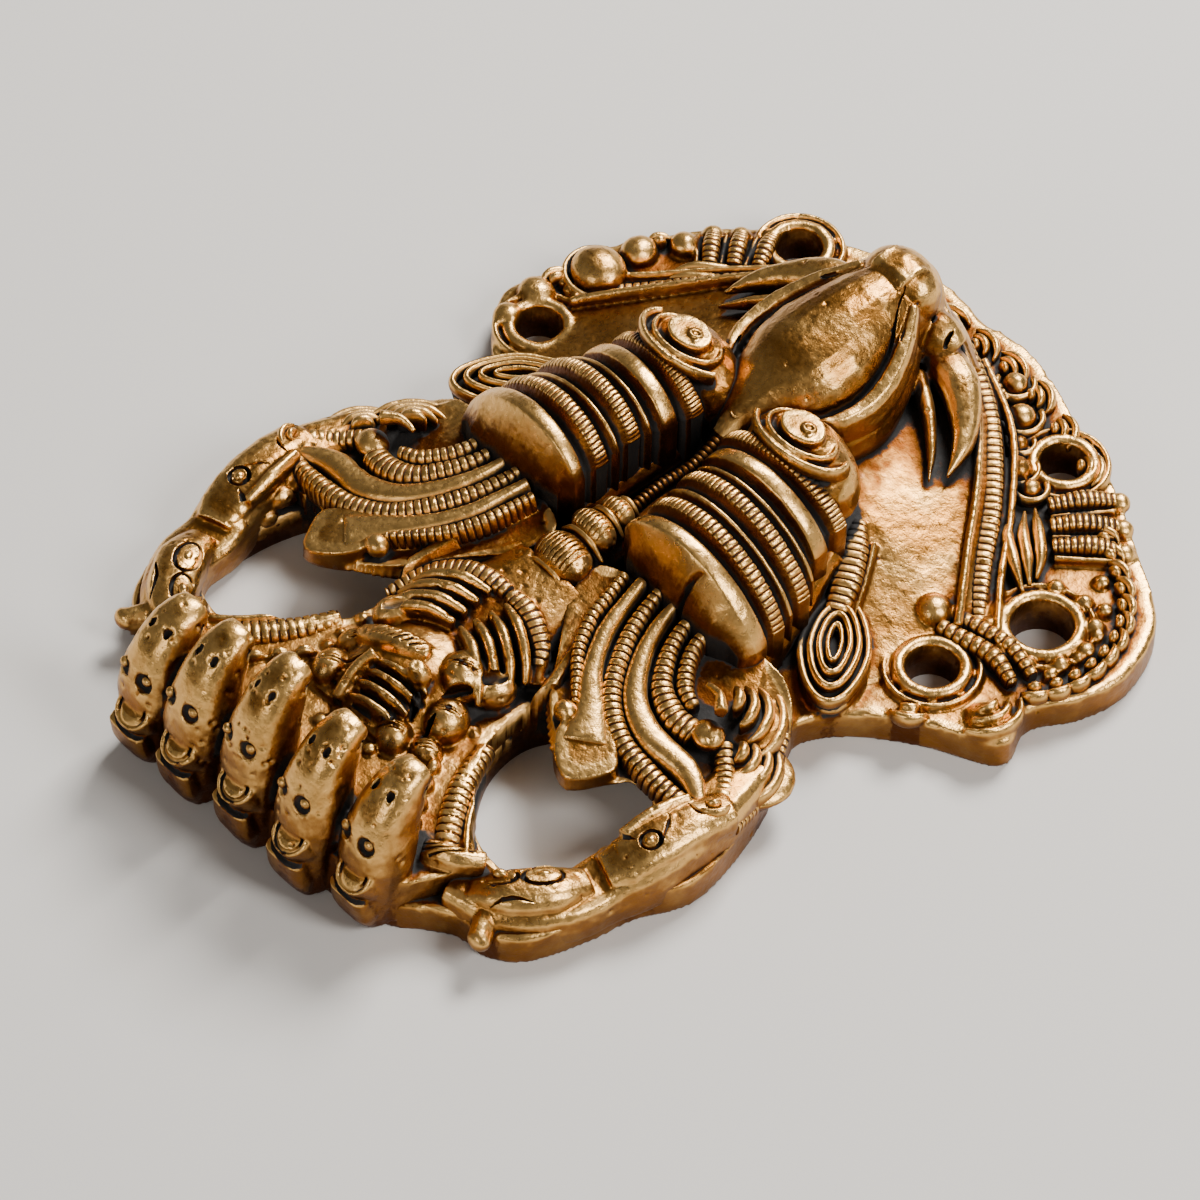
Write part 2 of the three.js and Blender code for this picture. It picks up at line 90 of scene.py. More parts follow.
def smooth_path(points, step, closed=False):
    """Points evenly spaced along a smooth curve through the given ones."""
    p = np.array(points, float)
    if len(p) == 2 and not closed:
        fine = p
    else:
        ahead = np.roll(p, -1, 0)
        behind = np.roll(p, 1, 0)
        tangent = (ahead - behind) / 2
        if not closed:
            tangent[0], tangent[-1] = p[1] - p[0], p[-1] - p[-2]
        pieces = []
        for i in range(len(p) if closed else len(p) - 1):
            j = (i + 1) % len(p)
            t = np.linspace(0, 1, 25)[:-1, None]
            pieces.append((2 * t**3 - 3 * t**2 + 1) * p[i] + (t**3 - 2 * t**2 + t) * tangent[i]
                          + (3 * t**2 - 2 * t**3) * p[j] + (t**3 - t**2) * tangent[j])
        fine = np.concatenate(pieces + [p[:1] if closed else p[-1:]])
    run = np.r_[0, np.cumsum(np.linalg.norm(np.diff(fine, axis=0), axis=1))]
    count = max(2, int(round(run[-1] / step)) + 1)
    at = np.linspace(0, run[-1], count)
    return np.stack([np.interp(at, run, fine[:, k]) for k in range(fine.shape[1])], 1), at


def along(value, t):
    """A size that may be one number or a list spread evenly along a path."""
    if np.isscalar(value):
        return np.full(len(t), float(value))
    return np.interp(t, np.linspace(0, 1, len(value)), value)


def mapped_grid(columns, rows, place, paint=None):
    """A grid whose corners move to place(u, v), both from 0 to 1. paint(u, v) says how dark the patina is."""
    bm = bmesh.new()
    bmesh.ops.create_grid(bm, x_segments=columns, y_segments=rows, size=0.5)
    flat = np.array([v.co[:2] for v in bm.verts]) + 0.5
    for v, co in zip(bm.verts, place(flat[:, 0], flat[:, 1]).tolist()):
        v.co = co
    if paint:
        layer = bm.verts.layers.float.new("paint")
        for v, dark in zip(bm.verts, paint(flat[:, 0], flat[:, 1]).tolist()):
            v[layer] = dark
    return bm


class Shapes:
    """Closed shapes that are cast together into one piece."""

    def __init__(self):
        self.bm = bmesh.new()
        self.bm.verts.layers.float.new("paint")

    def take(self, bm):
        """Adds the other closed shapes and frees them."""
        bmesh.ops.recalc_face_normals(bm, faces=bm.faces)
        mesh = bpy.data.meshes.new("taken")
        bm.to_mesh(mesh)
        bm.free()
        self.bm.from_mesh(mesh)
        bpy.data.meshes.remove(mesh)

    def tube(self, points, wide, tall, around=10, step=0.35, beads=None, closed=False, sideways=None,
             square=1.0,
             paint=0.0):
        """A round or flat bar along a path. beads is (pitch, depth) of the cuts that make it a rope."""
        if beads:
            step = beads[0] / 10
        path, run = smooth_path(points, step, closed)
        t = run / run[-1]
        tangent = np.gradient(path, axis=0)
        if closed:
            tangent[0] = tangent[-1] = path[1] - path[-2]
        tangent /= np.linalg.norm(tangent, axis=1)[:, None]
        across = np.cross(tangent, (0, 0, 1)) if sideways is None else np.tile(np.array(sideways, float),
                                                                               (len(t), 1))
        across /= np.linalg.norm(across, axis=1)[:, None]
        up = np.cross(across, tangent)
        up /= np.linalg.norm(up, axis=1)[:, None]
        w, h = along(wide, t), along(tall, t)
        cut = np.zeros(len(t))
        if beads:
            cut = bead_cuts(run, beads[0])
            w, h = w - beads[1] * 0.7 * cut, h - beads[1] * cut
        last = len(path) - 1

        def place(u, v):
            j = np.rint(v * last).astype(int)
            a = 2 * np.pi * u
            ca, sa = np.cos(a), np.sin(a)
            ca = np.sign(ca) * np.abs(ca) ** square
            sa = np.sign(sa) * np.abs(sa) ** square
            return path[j] + across[j] * (w[j] * ca)[:, None] + up[j] * (h[j] * sa)[:, None]

        bm = mapped_grid(around, last, place, lambda u, v: paint + 0.95 * cut[np.rint(v * last).astype(int)])
        bmesh.ops.remove_doubles(bm, verts=bm.verts, dist=1e-4)
        rims = [e for e in bm.edges if e.is_boundary]
        if rims:
            bmesh.ops.holes_fill(bm, edges=rims, sides=0)
        self.take(bm)

    def rope(self, side, points, wide, tall, pitch=1.0, cut=0.3, square=0.75):
        """A cast cord with a cut between every two beads, sunk by half into what lies under it."""
        self.tube(spots(side, points), wide, tall, around=16, beads=(pitch, cut), square=square)

    def ball(self, centre, radii, turn=(0, 0, 0), fine=3):
        """A ball or an egg, turned about its own axes."""
        matrix = Matrix.Translation(centre)
        for angle, axis in zip(turn, "XYZ"):
            matrix = matrix @ Matrix.Rotation(angle, 4, axis)
        matrix = matrix @ Matrix.Diagonal((*radii, 1))
        bmesh.ops.create_icosphere(self.bm, subdivisions=fine, radius=1, matrix=matrix)

    def ring(self, centre, radii, thick, tall, tilt=(0, 0), turn=0.0, arc=(0, 360), around=10, paint=0.0):
        """A round or oval cord, or part of one. tilt is its rise per millimetre along X and Y."""
        whole = arc == (0, 360)
        angles = np.radians(np.linspace(*arc, 17))
        if whole:
            angles = angles[:-1]
        c, s = math.cos(turn), math.sin(turn)
        points = []
        for q in angles:
            x, y = radii[0] * math.cos(q), radii[1] * math.sin(q)
            x, y = x * c - y * s, x * s + y * c
            points.append((centre[0] + x, centre[1] + y, centre[2] + x * tilt[0] + y * tilt[1]))
        self.tube(points, thick, tall, closed=whole, around=around, paint=paint, step=0.3)

    def slab(self, outline, bottom, top, rounding=0.0):
        """A flat plate with the given outline. top may be a height over the face."""
        bm = bmesh.new()
        face = bm.faces.new([bm.verts.new((p[0], p[1], bottom)) for p in outline])
        made = bmesh.ops.extrude_face_region(bm, geom=[face])
        for v in [g for g in made["geom"] if isinstance(g, bmesh.types.BMVert)]:
            v.co.z = top(v.co.x - SHIFT, MIDDLE - v.co.y) if callable(top) else top
        if rounding:
            lid = max(bm.faces, key=lambda f: f.calc_center_median().z)
            bmesh.ops.bevel(bm, geom=list(lid.edges), offset=rounding, segments=2, profile=0.5,
                            affect="EDGES",
                            material=-1)
        self.take(bm)

    def block(self, columns, rows, place, floor, paint=None):
        """A block whose top is place(u, v) and whose foot is flat."""
        bm = mapped_grid(columns, rows, place, paint)
        rims = [e for e in bm.edges if e.is_boundary]
        made = bmesh.ops.extrude_edge_only(bm, edges=rims)
        for v in [g for g in made["geom"] if isinstance(g, bmesh.types.BMVert)]:
            v.co.z = floor
        foot = [g for g in made["geom"] if isinstance(g, bmesh.types.BMEdge) and g.is_boundary]
        bmesh.ops.holes_fill(bm, edges=foot, sides=0)
        self.take(bm)

    def mesh(self, name):
        """The shapes as a mesh. They can't be added to after this."""
        mesh = bpy.data.meshes.new(name)
        self.bm.to_mesh(mesh)
        self.bm.free()
        return mesh


def bead_cuts(run, pitch):
    """1 in the middle of each cut between beads, 0 on the beads."""
    away = np.abs((run / pitch + 0.5) % 1 - 0.5) * pitch
    return np.exp(-((away / 0.115) ** 2))


def joined(mesh, extra):
    """The mesh with the other mesh's closed shapes standing in it. The other mesh goes."""
    both = bmesh.new()
    both.verts.layers.float.new("paint")
    both.from_mesh(mesh)
    both.from_mesh(extra)
    both.to_mesh(mesh)
    both.free()
    bpy.data.meshes.remove(extra)
    return mesh


def closed_outline(side_points, step=0.9):
    """The smooth closed curve through the points."""
    path, _ = smooth_path([(x, y, 0) for x, y in side_points], step, closed=True)
    return path[:-1]


def applied(obj):
    """The mesh of an object with its modifiers applied; the object itself goes."""
    bpy.context.view_layer.update()
    evaluated = obj.evaluated_get(bpy.context.evaluated_depsgraph_get())
    mesh = bpy.data.meshes.new_from_object(evaluated)
    name = obj.data.name
    old = obj.data
    bpy.data.objects.remove(obj)
    bpy.data.meshes.remove(old)
    mesh.name = name
    return mesh


def shown(mesh):
    """A new object with the mesh, in the scene."""
    obj = bpy.data.objects.new(mesh.name, mesh)
    bpy.context.scene.collection.objects.link(obj)
    return obj


def levelled(mesh):
    """Cuts off what would reach under the surface that the hanging lies on."""
    below = Shapes()
    below.slab([(-90, -90), (90, -90), (90, 90), (-90, 90)], -12, 0)
    return carved(mesh, below)


def fused(shapes, name, voxel):
    """The shapes melted into one skin, as in a casting."""
    obj = shown(shapes.mesh(name))
    melt = obj.modifiers.new("melt", "REMESH")
    melt.mode = "VOXEL"
    melt.voxel_size = voxel * 1
    melt.use_smooth_shade = True
    return applied(obj)


def carved(mesh, cutters):
    """The mesh with the cutters' shapes taken out of it."""
    obj = shown(mesh)
    tool = shown(cutters.mesh("cutter"))
    cut = obj.modifiers.new("cut", "BOOLEAN")
    cut.operation = "DIFFERENCE"
    cut.solver = "MANIFOLD"
    cut.object = tool
    made = applied(obj)
    old = tool.data
    bpy.data.objects.remove(tool)
    bpy.data.meshes.remove(old)
    return made


def value_noise(points, size, seed):
    """Smooth seeded noise from -1 to 1, whose grains are about size millimetres wide."""
    table = np.random.default_rng(seed).uniform(-1, 1, 4096)
    q = points / size
    base = np.floor(q).astype(np.int64)
    part = q - base
    part = part * part * (3 - 2 * part)
    total = np.zeros(len(points))
    for corner in range(8):
        step = np.array([corner & 1, corner >> 1 & 1, corner >> 2 & 1])
        cell = base + step
        key = (cell[:, 0] * 73856093 ^ cell[:, 1] * 19349663 ^ cell[:, 2] * 83492791) & 4095
        weight = np.prod(np.where(step, part, 1 - part), axis=1)
        total += weight * table[key]
    return total


def roughened(mesh, amount, pits=0, pit_size=(0.25, 0.5), pit_above=10.0, seed=5):
    """Leaves the unevenness of a hand-worked casting, and pits of a few tenths of a millimetre."""
    count = len(mesh.vertices)
    co = np.empty(count * 3)
    mesh.vertices.foreach_get("co", co)
    points = co.reshape(-1, 3)
    normals = np.empty(count * 3)
    mesh.vertices.foreach_get("normal", normals)
    normals = normals.reshape(-1, 3)
    rise = amount * (0.6 * value_noise(points, 2.3, seed) + 0.55 * value_noise(points, 1.0, seed + 1)
                     + 0.35 * value_noise(points, 0.45, seed + 2))
    rng = np.random.default_rng(seed + 3)
    able = np.flatnonzero((points[:, 2] > pit_above) & (normals[:, 2] > -0.2))
    for k in rng.choice(able, pits) if pits else ():
        reach = rng.uniform(*pit_size)
        near = np.flatnonzero(np.abs(points[:, 0] - points[k, 0]) < reach)
        away = np.linalg.norm(points[near] - points[k], axis=1) / reach
        rise[near] -= 0.55 * reach * np.clip(1 - away**2, 0, None)
    rise[points[:, 2] < 0.3] = 0
    mesh.vertices.foreach_set("co", (points + normals * rise[:, None]).ravel())
    return mesh


def blurred(values, sigma):
    """The map smoothed over sigma cells."""
    reach = int(3 * sigma) + 1
    kernel = np.exp(-0.5 * (np.arange(-reach, reach + 1) / sigma) ** 2)
    kernel /= kernel.sum()
    for axis in (0, 1):
        values = np.apply_along_axis(lambda line: np.convolve(line, kernel, "same"), axis, values)
    return values


def sampled(points, field, low, cell):
    """The map's value under each point, blended between its cells."""
    u = (points[:, 0] - low[0]) / cell - 0.5
    v = (points[:, 1] - low[1]) / cell - 0.5
    i = np.clip(u.astype(int), 0, field.shape[0] - 2)
    j = np.clip(v.astype(int), 0, field.shape[1] - 2)
    a, b = np.clip(u - i, 0, 1), np.clip(v - j, 0, 1)
    return ((1 - a) * (1 - b) * field[i, j] + a * (1 - b) * field[i + 1, j]
            + (1 - a) * b * field[i, j + 1] + a * b * field[i + 1, j + 1])


def finished(mesh, name, uneven=0.07, pits=0, pit_above=10.0):
    """Gives a piece its worn skin, its true size and its place on the casting."""
    mesh.name = name
    roughened(mesh, uneven, pits, pit_above=pit_above)
    mesh.transform(Matrix.Scale(MM, 4))
    mesh.polygons.foreach_set("use_smooth", np.ones(len(mesh.polygons), bool))
    piece = shown(mesh)
    PIECES.append(piece)
    return piece


# Heights of the face
def lip_down(across):
    """How far down the lip lies at each distance across."""
    return np.interp(across, [p[0] for p in LIP], [p[1] for p in LIP])


def ground(x, down):
    """Cheeks that fall in a smooth hollow from the snout to the jaw's edge."""
    across = np.abs(x)
    cheek = RIM + 0.34 * np.clip(38.5 - across, 0, None) ** 0.98 * np.clip((down - 2) / 26, 0, 1) ** 0.8
    near_snout = bump(np.clip(across - 7, 0, None), 9) * bump(down - 40, 13)
    cheek = cheek - 1.4 * near_snout
    border = np.clip(down - lip_down(across) - 1, 0, None)
    fall = np.clip(1 - border / 5, 0, 1)
    return np.maximum(RIM, RIM + (cheek - RIM) * fall)


def bump(value, reach):
    """1 at 0, falling smoothly to nearly nothing at twice the reach."""
    return np.exp(-((value / reach) ** 2))


def fan_top(x, down):
    """Height of a fan's surface."""
    across = abs(x)
    edge = max(0, across - 30) * min(1, max(0, (down + 16) / 8))
    return 15.2 - 0.17 * max(0, across - 10) - 0.35 * edge + 0.13 * min(0, down + 2)


def plate_outline():
    """The casting's outline, with its wide and its narrow jaw."""
    half = [[spot(side, *p, 0)[:2] for p in CROWN_EDGE + LOOP_EDGE + jaw + CHIN_EDGE]
            for side, jaw in ((-1, WIDE_JAW), (1, NARROW_JAW))]
    return closed_outline(half[0] + half[1][::-1][1:-1])


def loop_hole_cutter(cutters, top):
    """Takes out the openings inside the looped necks."""
    for side in (1, -1):
        cutters.slab(closed_outline([spot(side, *p, 0)[:2] for p in LOOP_HOLE]), -2, top)


def hollow_cutter(cutters):
    """Takes out the hollow behind the eyes, the snout and the cheeks."""
    def ceiling(x, down):
        across = np.abs(x)
        domes = 14.5 * bump(across - 14, 7) * bump(down - 12, 11)
        snout = 15 * bump(across, 6.5) * bump(down - 39, 13)
        seam = bump(across, 5) * bump(down - 2, 12)
        return np.maximum.reduce([(ground(x, down) - 4.2) * (1 - seam), domes + 1.6, snout + 1.6,
                                  np.ones_like(x)])

    def place(u, v):
        down = 1 + 50 * v
        half = np.interp(down, [1, 6, 24, 33, 45, 51], [20, 27, 30, 25, 13, 3])
        x = half * (2 * u - 1)
        return np.stack([SHIFT + x, MIDDLE - down, ceiling(x, down)], 1)

    cutters.block(60, 50, place, -2)


def cheeks(shapes):
    """The cheeks with the brown stain near the eyes."""
    def place(u, v):
        down = 2 + 60 * v
        half = np.interp(down, [2, 20, 27, 33, 45, 56, 62], [31, 36.5, 36.5, 33.5, 24, 11, 5])
        x = half * (2 * u - 1)
        return np.stack([SHIFT + x, MIDDLE - down, ground(x, down) - 0.2], 1)

    def stain(_u, v):
        return 0.46 - 0.3 * np.clip((60 * v - 20) / 14, 0, 1)

    shapes.block(140, 110, place, 0.8, stain)


def lips(shapes, cords):
    """The lip's two plain edges with a cord between them."""
    for side in (1, -1):
        inner = [(1.5, 56.2, 14), (9, 53.3, 13.8), (16, 49.2, 11.6), (23, 42.4, 9.6), (29, 35.2, 8.2),
                 (34, 29.4, 7), (36, 27, 6.2)]
        rope = [(5.5, 56.6, 11.6), (11.6, 53.8, 10.6), (17.6, 50, 9.4), (24.8, 43.4, 7.8), (31, 35.9, 6.6),
                (36.4, 30.2, 5.8),
                (38, 28.4, 5.4)]
        outer = [(8.3, 57.6, 9.8), (18.2, 53.2, 8), (26.8, 45, 6.6), (33.4, 37, 5.8), (39.6, 30.4, 5.2)]
        shapes.tube(spots(side, inner), 0.62, [1.6, 1.6, 1.8, 1.8, 1.6, 1.3, 0.9])
        shapes.tube(spots(side, [(a, d, z - 2.0) for a, d, z in rope]), 1.9, 1.9)
        cords.rope(side, [(a, d, z - 0.8) for a, d, z in rope], [1.3, 1.5, 1.5, 1.45, 1.4, 1.2, 0.6],
                   [1.4, 1.5, 1.5, 1.4, 1.3, 1.2, 0.6], 1.05, 0.26, square=0.6)
        shapes.tube(spots(side, outer), 0.55, 1.3)


def ear_leaf(shapes, cords, side):
    """The leaf of nested ovals beside the cheek, with its roped stem."""
    centre, turn = spot(side, 29.4, 12.2, RIM + 1), -side * 0.72
    shapes.ball((centre[0], centre[1], centre[2] - 0.4), (4.5, 8.6, 2.5), (0, 0, turn))
    c, s = math.cos(turn), math.sin(turn)
    for long, wide, up, thick in ((8.4, 4.2, 1.4, 0.5), (6.6, 3.0, 2.2, 0.45), (4.8, 1.9, 2.7, 0.4),
                                  (3.0, 0.85, 2.9, 0.3)):
        ring = []
        for k in range(16):
            a = 2 * math.pi * k / 16
            x, y = wide * math.cos(a), long * math.sin(a)
            y = math.copysign(abs(y / long) ** 1.25 * long, y)
            ring.append((centre[0] + x * c - y * s, centre[1] + x * s + y * c, centre[2] + up))
        cords.tube(ring, thick, thick + 0.5, closed=True, around=10)
    column = [(25.4, 16.2, 7.6), (23.4, 19.6, 8.6), (20.6, 23.6, 9.6), (18, 27, 10.2)]
    shapes.tube(spots(side, [(a, d, z - 1.2) for a, d, z in column]), 2.0, 1.9)
    cords.rope(side, column, [1.5, 2.0, 2.0, 0.9], [1.2, 1.5, 1.5, 0.8], 1.05, 0.32)
    for a, d in ((27, 19.8), (21.6, 15.4)):
        shapes.tube(spots(side, [(a, d - 2, 6.4), (a - 2.4, d + 2, 7.8), (a - 5.4, d + 6.4, 9.6)]), 0.5, 1.4)


def hole_rim(shapes, side, a, d, r, wide=0.9, up=0.6):
    """A cord round a hole, and a lower ring beyond it."""
    shapes.ring(spot(side, a, d, RIM + up), (r + wide * 0.9, r + wide * 0.9), wide, wide)
    shapes.ring(spot(side, a, d, RIM + 0.2), (r + wide * 2.9, r + wide * 2.9), 0.45, 0.9)


def chain(shapes, side, points, radius, pitch):
    """Balls in a row along a path."""
    path, _ = smooth_path(spots(side, points), pitch)
    for p in path:
        shapes.ball(p, (radius, radius, radius * 0.9), fine=2)


def petals(shapes, side, centre, reaches, turn, spread, up, thick=0.62):
    """Nested crescents, the largest lowest."""
    for k, reach in enumerate(reaches):
        arc = [(centre[0] + reach * math.cos(q), centre[1] + reach * math.sin(q), up - 0.3 * k)
               for q in np.linspace(turn - spread, turn + spread, 7)]
        shapes.tube(spots(side, arc), [0.2, thick, thick * 1.15, thick, 0.2], [0.6, 1.2, 1.3, 1.2, 0.6],
                    around=12)


def wide_jaw(shapes, cords):
    """The carving round the three holes of the wide jaw."""
    side = -1
    for a, d, r in HOLES[side]:
        hole_rim(shapes, side, a, d, r)
    shapes.ball(spot(side, 32.2, 26.6, RIM + 1.4), (2.4, 2.4, 2.2))
    cords.rope(side, [(34.2, 25.6, 5.4), (38, 26.4, 5.6), (42.4, 27.2, 5.6), (46.6, 26.2, 5.2)],
               [1.0, 1.2, 1.2, 0.8], 1.4, 1.25, 0.4)
    cords.rope(side, [(34, 28.4, 5.2), (38, 29.4, 5.4), (42.6, 30, 5.4), (47.4, 29, 5)], [0.9, 1.1, 1.1, 0.8],
               1.3, 1.25, 0.4)
    # the lobe beyond the first hole, with its crescents
    petals(shapes, side, (46.4, 21.4), (1.6, 3.2, 4.8), -0.1, 1.15, RIM + 1)
    shapes.ball(spot(side, 48.6, 20.2, RIM - 0.2), (3.2, 2.6, 1.4))
    petals(shapes, side, (40.4, 14.8), (1.4, 2.8), -0.9, 1.0, RIM + 0.7)
    # lumps in and round the second hole, then petals and knobs along the edge
    for k in range(10):
        q = math.radians(-60 + 36 * k)
        a, d = 42.2 + 6.6 * math.cos(q), 35.6 + 6.6 * math.sin(q)
        if a > 37:
            shapes.ball(spot(side, a, d, RIM + 0.5), (1.3, 1.3, 1.2), fine=2)
    edge = [(50, 26.6), (51.8, 30), (52.4, 34), (52, 38), (50.8, 41.8), (48.6, 45.2), (45.6, 48),
            (41.6, 50.4), (37, 52.8)]
    path, _ = smooth_path([(a, d, 0) for a, d in edge], 3.1)
    for k, (a, d, _z) in enumerate(path):
        q = math.atan2(d - 36, a - 40)
        petals(cords, side, (a - 2.6 * math.cos(q), d - 2.6 * math.sin(q)), (1.1, 2.4), q + 0.15, 0.85,
               RIM + 0.8, 0.6)
        if k % 2:
            shapes.ball(spot(side, a - 3.6 * math.cos(q), d - 3.6 * math.sin(q), RIM + 0.3), (1.1, 1.1, 1.0),
                        fine=2)


def jaw_foot(shapes, cords, side):
    """The leaf with lens slots, the curls and cross-cut bars under the lip, and the chin's swirls."""
    k = 1.0 if side < 0 else 0.87
    for n in (-1.9, 0, 1.9):
        leaf = [(27.8 * k, 46.4, 5.4), (30.4 * k, 43.6, 6.2), (33.6 * k, 41.2, 6.2), (36.6 * k, 38.8, 5.4)]
        cords.tube(spots(side, [(a + 0.75 * n * math.sin(0.3 + i), d + 0.75 * n, z) for i,
                                (a, d, z) in enumerate(leaf)]),
                   [0.25, 0.85, 0.85, 0.25], [0.8, 1.3, 1.3, 0.8])
    for a, d, r in ((21.8, 51.0, 1.9), (25.2, 50.0, 1.4), (15.8, 57.4, 2.0), (11.2, 60.8, 1.7),
                    (18.8, 54.2, 1.2)):
        shapes.ball(spot(side, a * k, d, RIM + 0.9), (r, r, r))
        cords.ring(spot(side, a * k, d, RIM + 0.9), (r + 0.75, r + 0.75), 0.42, 0.9, arc=(20, 250))
    # the cross-cut bars between two plain ones
    for a0, d0, a1, d1 in ((28.8, 49.6, 33.4, 57), (31.4, 47.4, 36.8, 54.2), (34, 45.2, 39.8, 51.6)):
        if side > 0:
            a0, a1, d1 = a0 * k, a1 * 0.84, d1 - 2.2
        cords.rope(side, [(a0, d0, 5.6), ((a0 + a1) / 2, (d0 + d1) / 2, 6), (a1, d1, 5.2)], [1.0, 1.25, 1.0],
                   [1.2, 1.4, 1.0], 0.8, 0.24)
        shapes.ball(spot(side, a1 * 1.01, d1 * 1.005, RIM + 0.2), (1.5, 1.5, 1.3))
        shapes.tube(spots(side, [(a0 + 1.4, d0 - 1.0, 5.2), (a1 + 1.3, d1 - 1.4, 5)]), 0.4, 0.9)
    # swirls along the chin
    swirls = ((2.6, 62.6, 1.2), (8.0, 62.6, 1.35), (13.4, 62, 1.0), (19.4, 60.4, 0.9), (26, 58.6, 0.8))
    for a, d, q in swirls if side < 0 else swirls[:3]:
        petals(cords, side, (a * k, d - 1.8), (0.9, 2.2, 3.6), q, 0.9, RIM + 0.9, 0.55)
    cords.rope(side, [(0.5, 59.6, 5.6), (7, 59.2, 5.6), (12.4 * k, 58.2, 5.4)], [0.7, 0.8, 0.5], 1.1, 0.95,
               0.26)


def narrow_jaw(shapes, cords):
    """The carving round the two holes of the narrow jaw."""
    side = 1
    for a, d, r in HOLES[side]:
        hole_rim(shapes, side, a, d, r)
    shapes.ball(spot(side, 37.8, 33.4, RIM + 1.6), (3.9, 3.6, 2.8))
    cords.ring(spot(side, 37.8, 33.4, RIM + 0.8), (4.6, 4.3), 0.5, 0.9, arc=(-60, 200))
    shapes.ball(spot(side, 37.4, 40, RIM + 0.8), (2.4, 2.6, 2.0))
    shapes.ball(spot(side, 40.8, 25.4, RIM + 0.6), (2.6, 2.4, 1.8))
    shapes.ball(spot(side, 40.2, 19.9, RIM + 0.6), (2.0, 2.0, 1.6))
    shapes.ball(spot(side, 34.6, 45.4, RIM + 0.6), (2.0, 2.0, 1.8))
    petals(cords, side, (39.6, 28.4), (1.2, 2.4), 0.2, 1.0, RIM + 0.9)
    petals(cords, side, (36.0, 42.6), (1.0, 2.0), 0.6, 0.9, RIM + 0.8)
    chain(shapes, side, [(33.6, 28.4, 5.2), (37, 28.6, 5.4), (40, 29.2, 5.2)], 0.9, 1.5)


def make_jaw():
    """The plate with cheeks, lips and the jaw's carving."""
    shapes = Shapes()
    cords = Shapes()
    cutters = Shapes()
    shapes.slab(plate_outline(), 0, RIM, rounding=0.7)
    cheeks(shapes)
    lips(shapes, cords)
    for side in (1, -1):
        ear_leaf(shapes, cords, side)
        jaw_foot(shapes, cords, side)
    wide_jaw(shapes, cords)
    narrow_jaw(shapes, cords)
    mesh = fused(shapes, "jaw", 0.25)
    loop_hole_cutter(cutters, 40)
    for side, holes in HOLES.items():
        for a, d, r in holes:
            cutters.tube([spot(side, a, d, -2), spot(side, a, d, 20)], r, r, around=32, step=5,
                         sideways=(1, 0, 0))
    hollow_cutter(cutters)
    return finished(joined(carved(mesh, cutters), cords.mesh("cords")), "jaw_and_cheeks", pits=60,
                    pit_above=4)


# The ribbed eyes
RIBS = {  # inner end, outer end (across, down, up), and how far the crest stands over the others
    "visor": ((4.4, 0.0, 17.4), (26.8, 2.2, 11.8), 0.0),
    "first rope": ((4.4, 4.1, 17.9), (26, 6.0, 12), 0.05),
    "first line": ((4.3, 6.6, 18.6), (25.4, 8.6, 12.4), -0.3),
    "second rope": ((4.2, 9.2, 19), (24.8, 11.3, 12.8), 0.4),
    "second line": ((3.9, 11.6, 18.8), (23.6, 13.8, 13.4), -0.1),
    "plain": ((3.3, 14.3, 18.6), (21.9, 16.6, 14.6), 0.2),
    "third rope": ((2.3, 18, 19), (20.9, 20.9, 15.6), -0.1),
}
DOME_CREST = 22.9
ROPE_ROWS = [(-2.05, 2.4, 0, 1), (-1.9, 1.95, 0, 1), (-1.6, 1.35, 0, 0.75), (-1.25, 0.75, 0, 0.42),
             (-1.0, 0.36, 0.3, 0.35), (-0.88, 0.12, 1, 0.05), (-0.5, 0.0, 1, 0), (0.0, -0.08, 1, 0),
             (0.5, -0.02, 1, 0),
             (0.85, 0.12, 1, 0), (1.02, 0.5, 0.6, 0.5), (1.1, 1.3, 0, 1), (1.25, 2.4, 0, 1)]
LINE_ROWS = [(-1.1, 2.3, 0, 1), (-0.95, 1.8, 0, 1), (-0.5, 1.0, 0, 0.45), (-0.26, 0.45, 0, 0.3),
             (-0.12, 0.25, 0, 0),
             (0.16, 0.25, 0, 0), (0.26, 0.8, 0, 0.8), (0.32, 1.6, 0, 1), (0.4, 2.3, 0, 1)]
PLAIN_ROWS = [(-2.0, 2.4, 0, 1), (-1.8, 1.9, 0, 1), (-1.3, 0.95, 0, 0.5), (-1.05, 0.3, 0, 0.3),
              (-0.9, 0.03, 0, 0),
              (0.0, -0.04, 0, 0), (0.85, 0.0, 0, 0), (1.2, 0.3, 0, 0), (1.34, 0.9, 0, 0.8), (1.42, 1.7, 0, 1),
              (1.5, 2.4, 0, 1)]
VISOR_ROWS = [(-3.7, 11.5, 0, 1), (-3.6, 8.6, 0, 0.8), (-3.2, 6.2, 0, 0.4), (-2.6, 4.2, 0, 0.26),
              (-2.0, 2.4, 0, 0.2),
              (-1.4, 0.95, 0, 0.16), (-1.12, 0.36, 0, 0.08), (-0.9, 0.1, 0, 0), (0, 0, 0, 0),
              (0.8, 0.05, 0, 0),
              (1.1, 0.3, 0, 0), (1.24, 0.9, 0, 0.8), (1.32, 1.8, 0, 1), (1.45, 2.4, 0, 1)]
RIB_ROWS = {"visor": VISOR_ROWS, "first line": LINE_ROWS, "second line": LINE_ROWS, "plain": PLAIN_ROWS}
BEAD_CUT = 0.3
ARCH_POWER = 0.62  # under 1 makes the domes' arches fuller than a parabola
ARCH_REACH, ARCH_RISE = 22, 8.5  # of the arch that spaces the ribs' points evenly


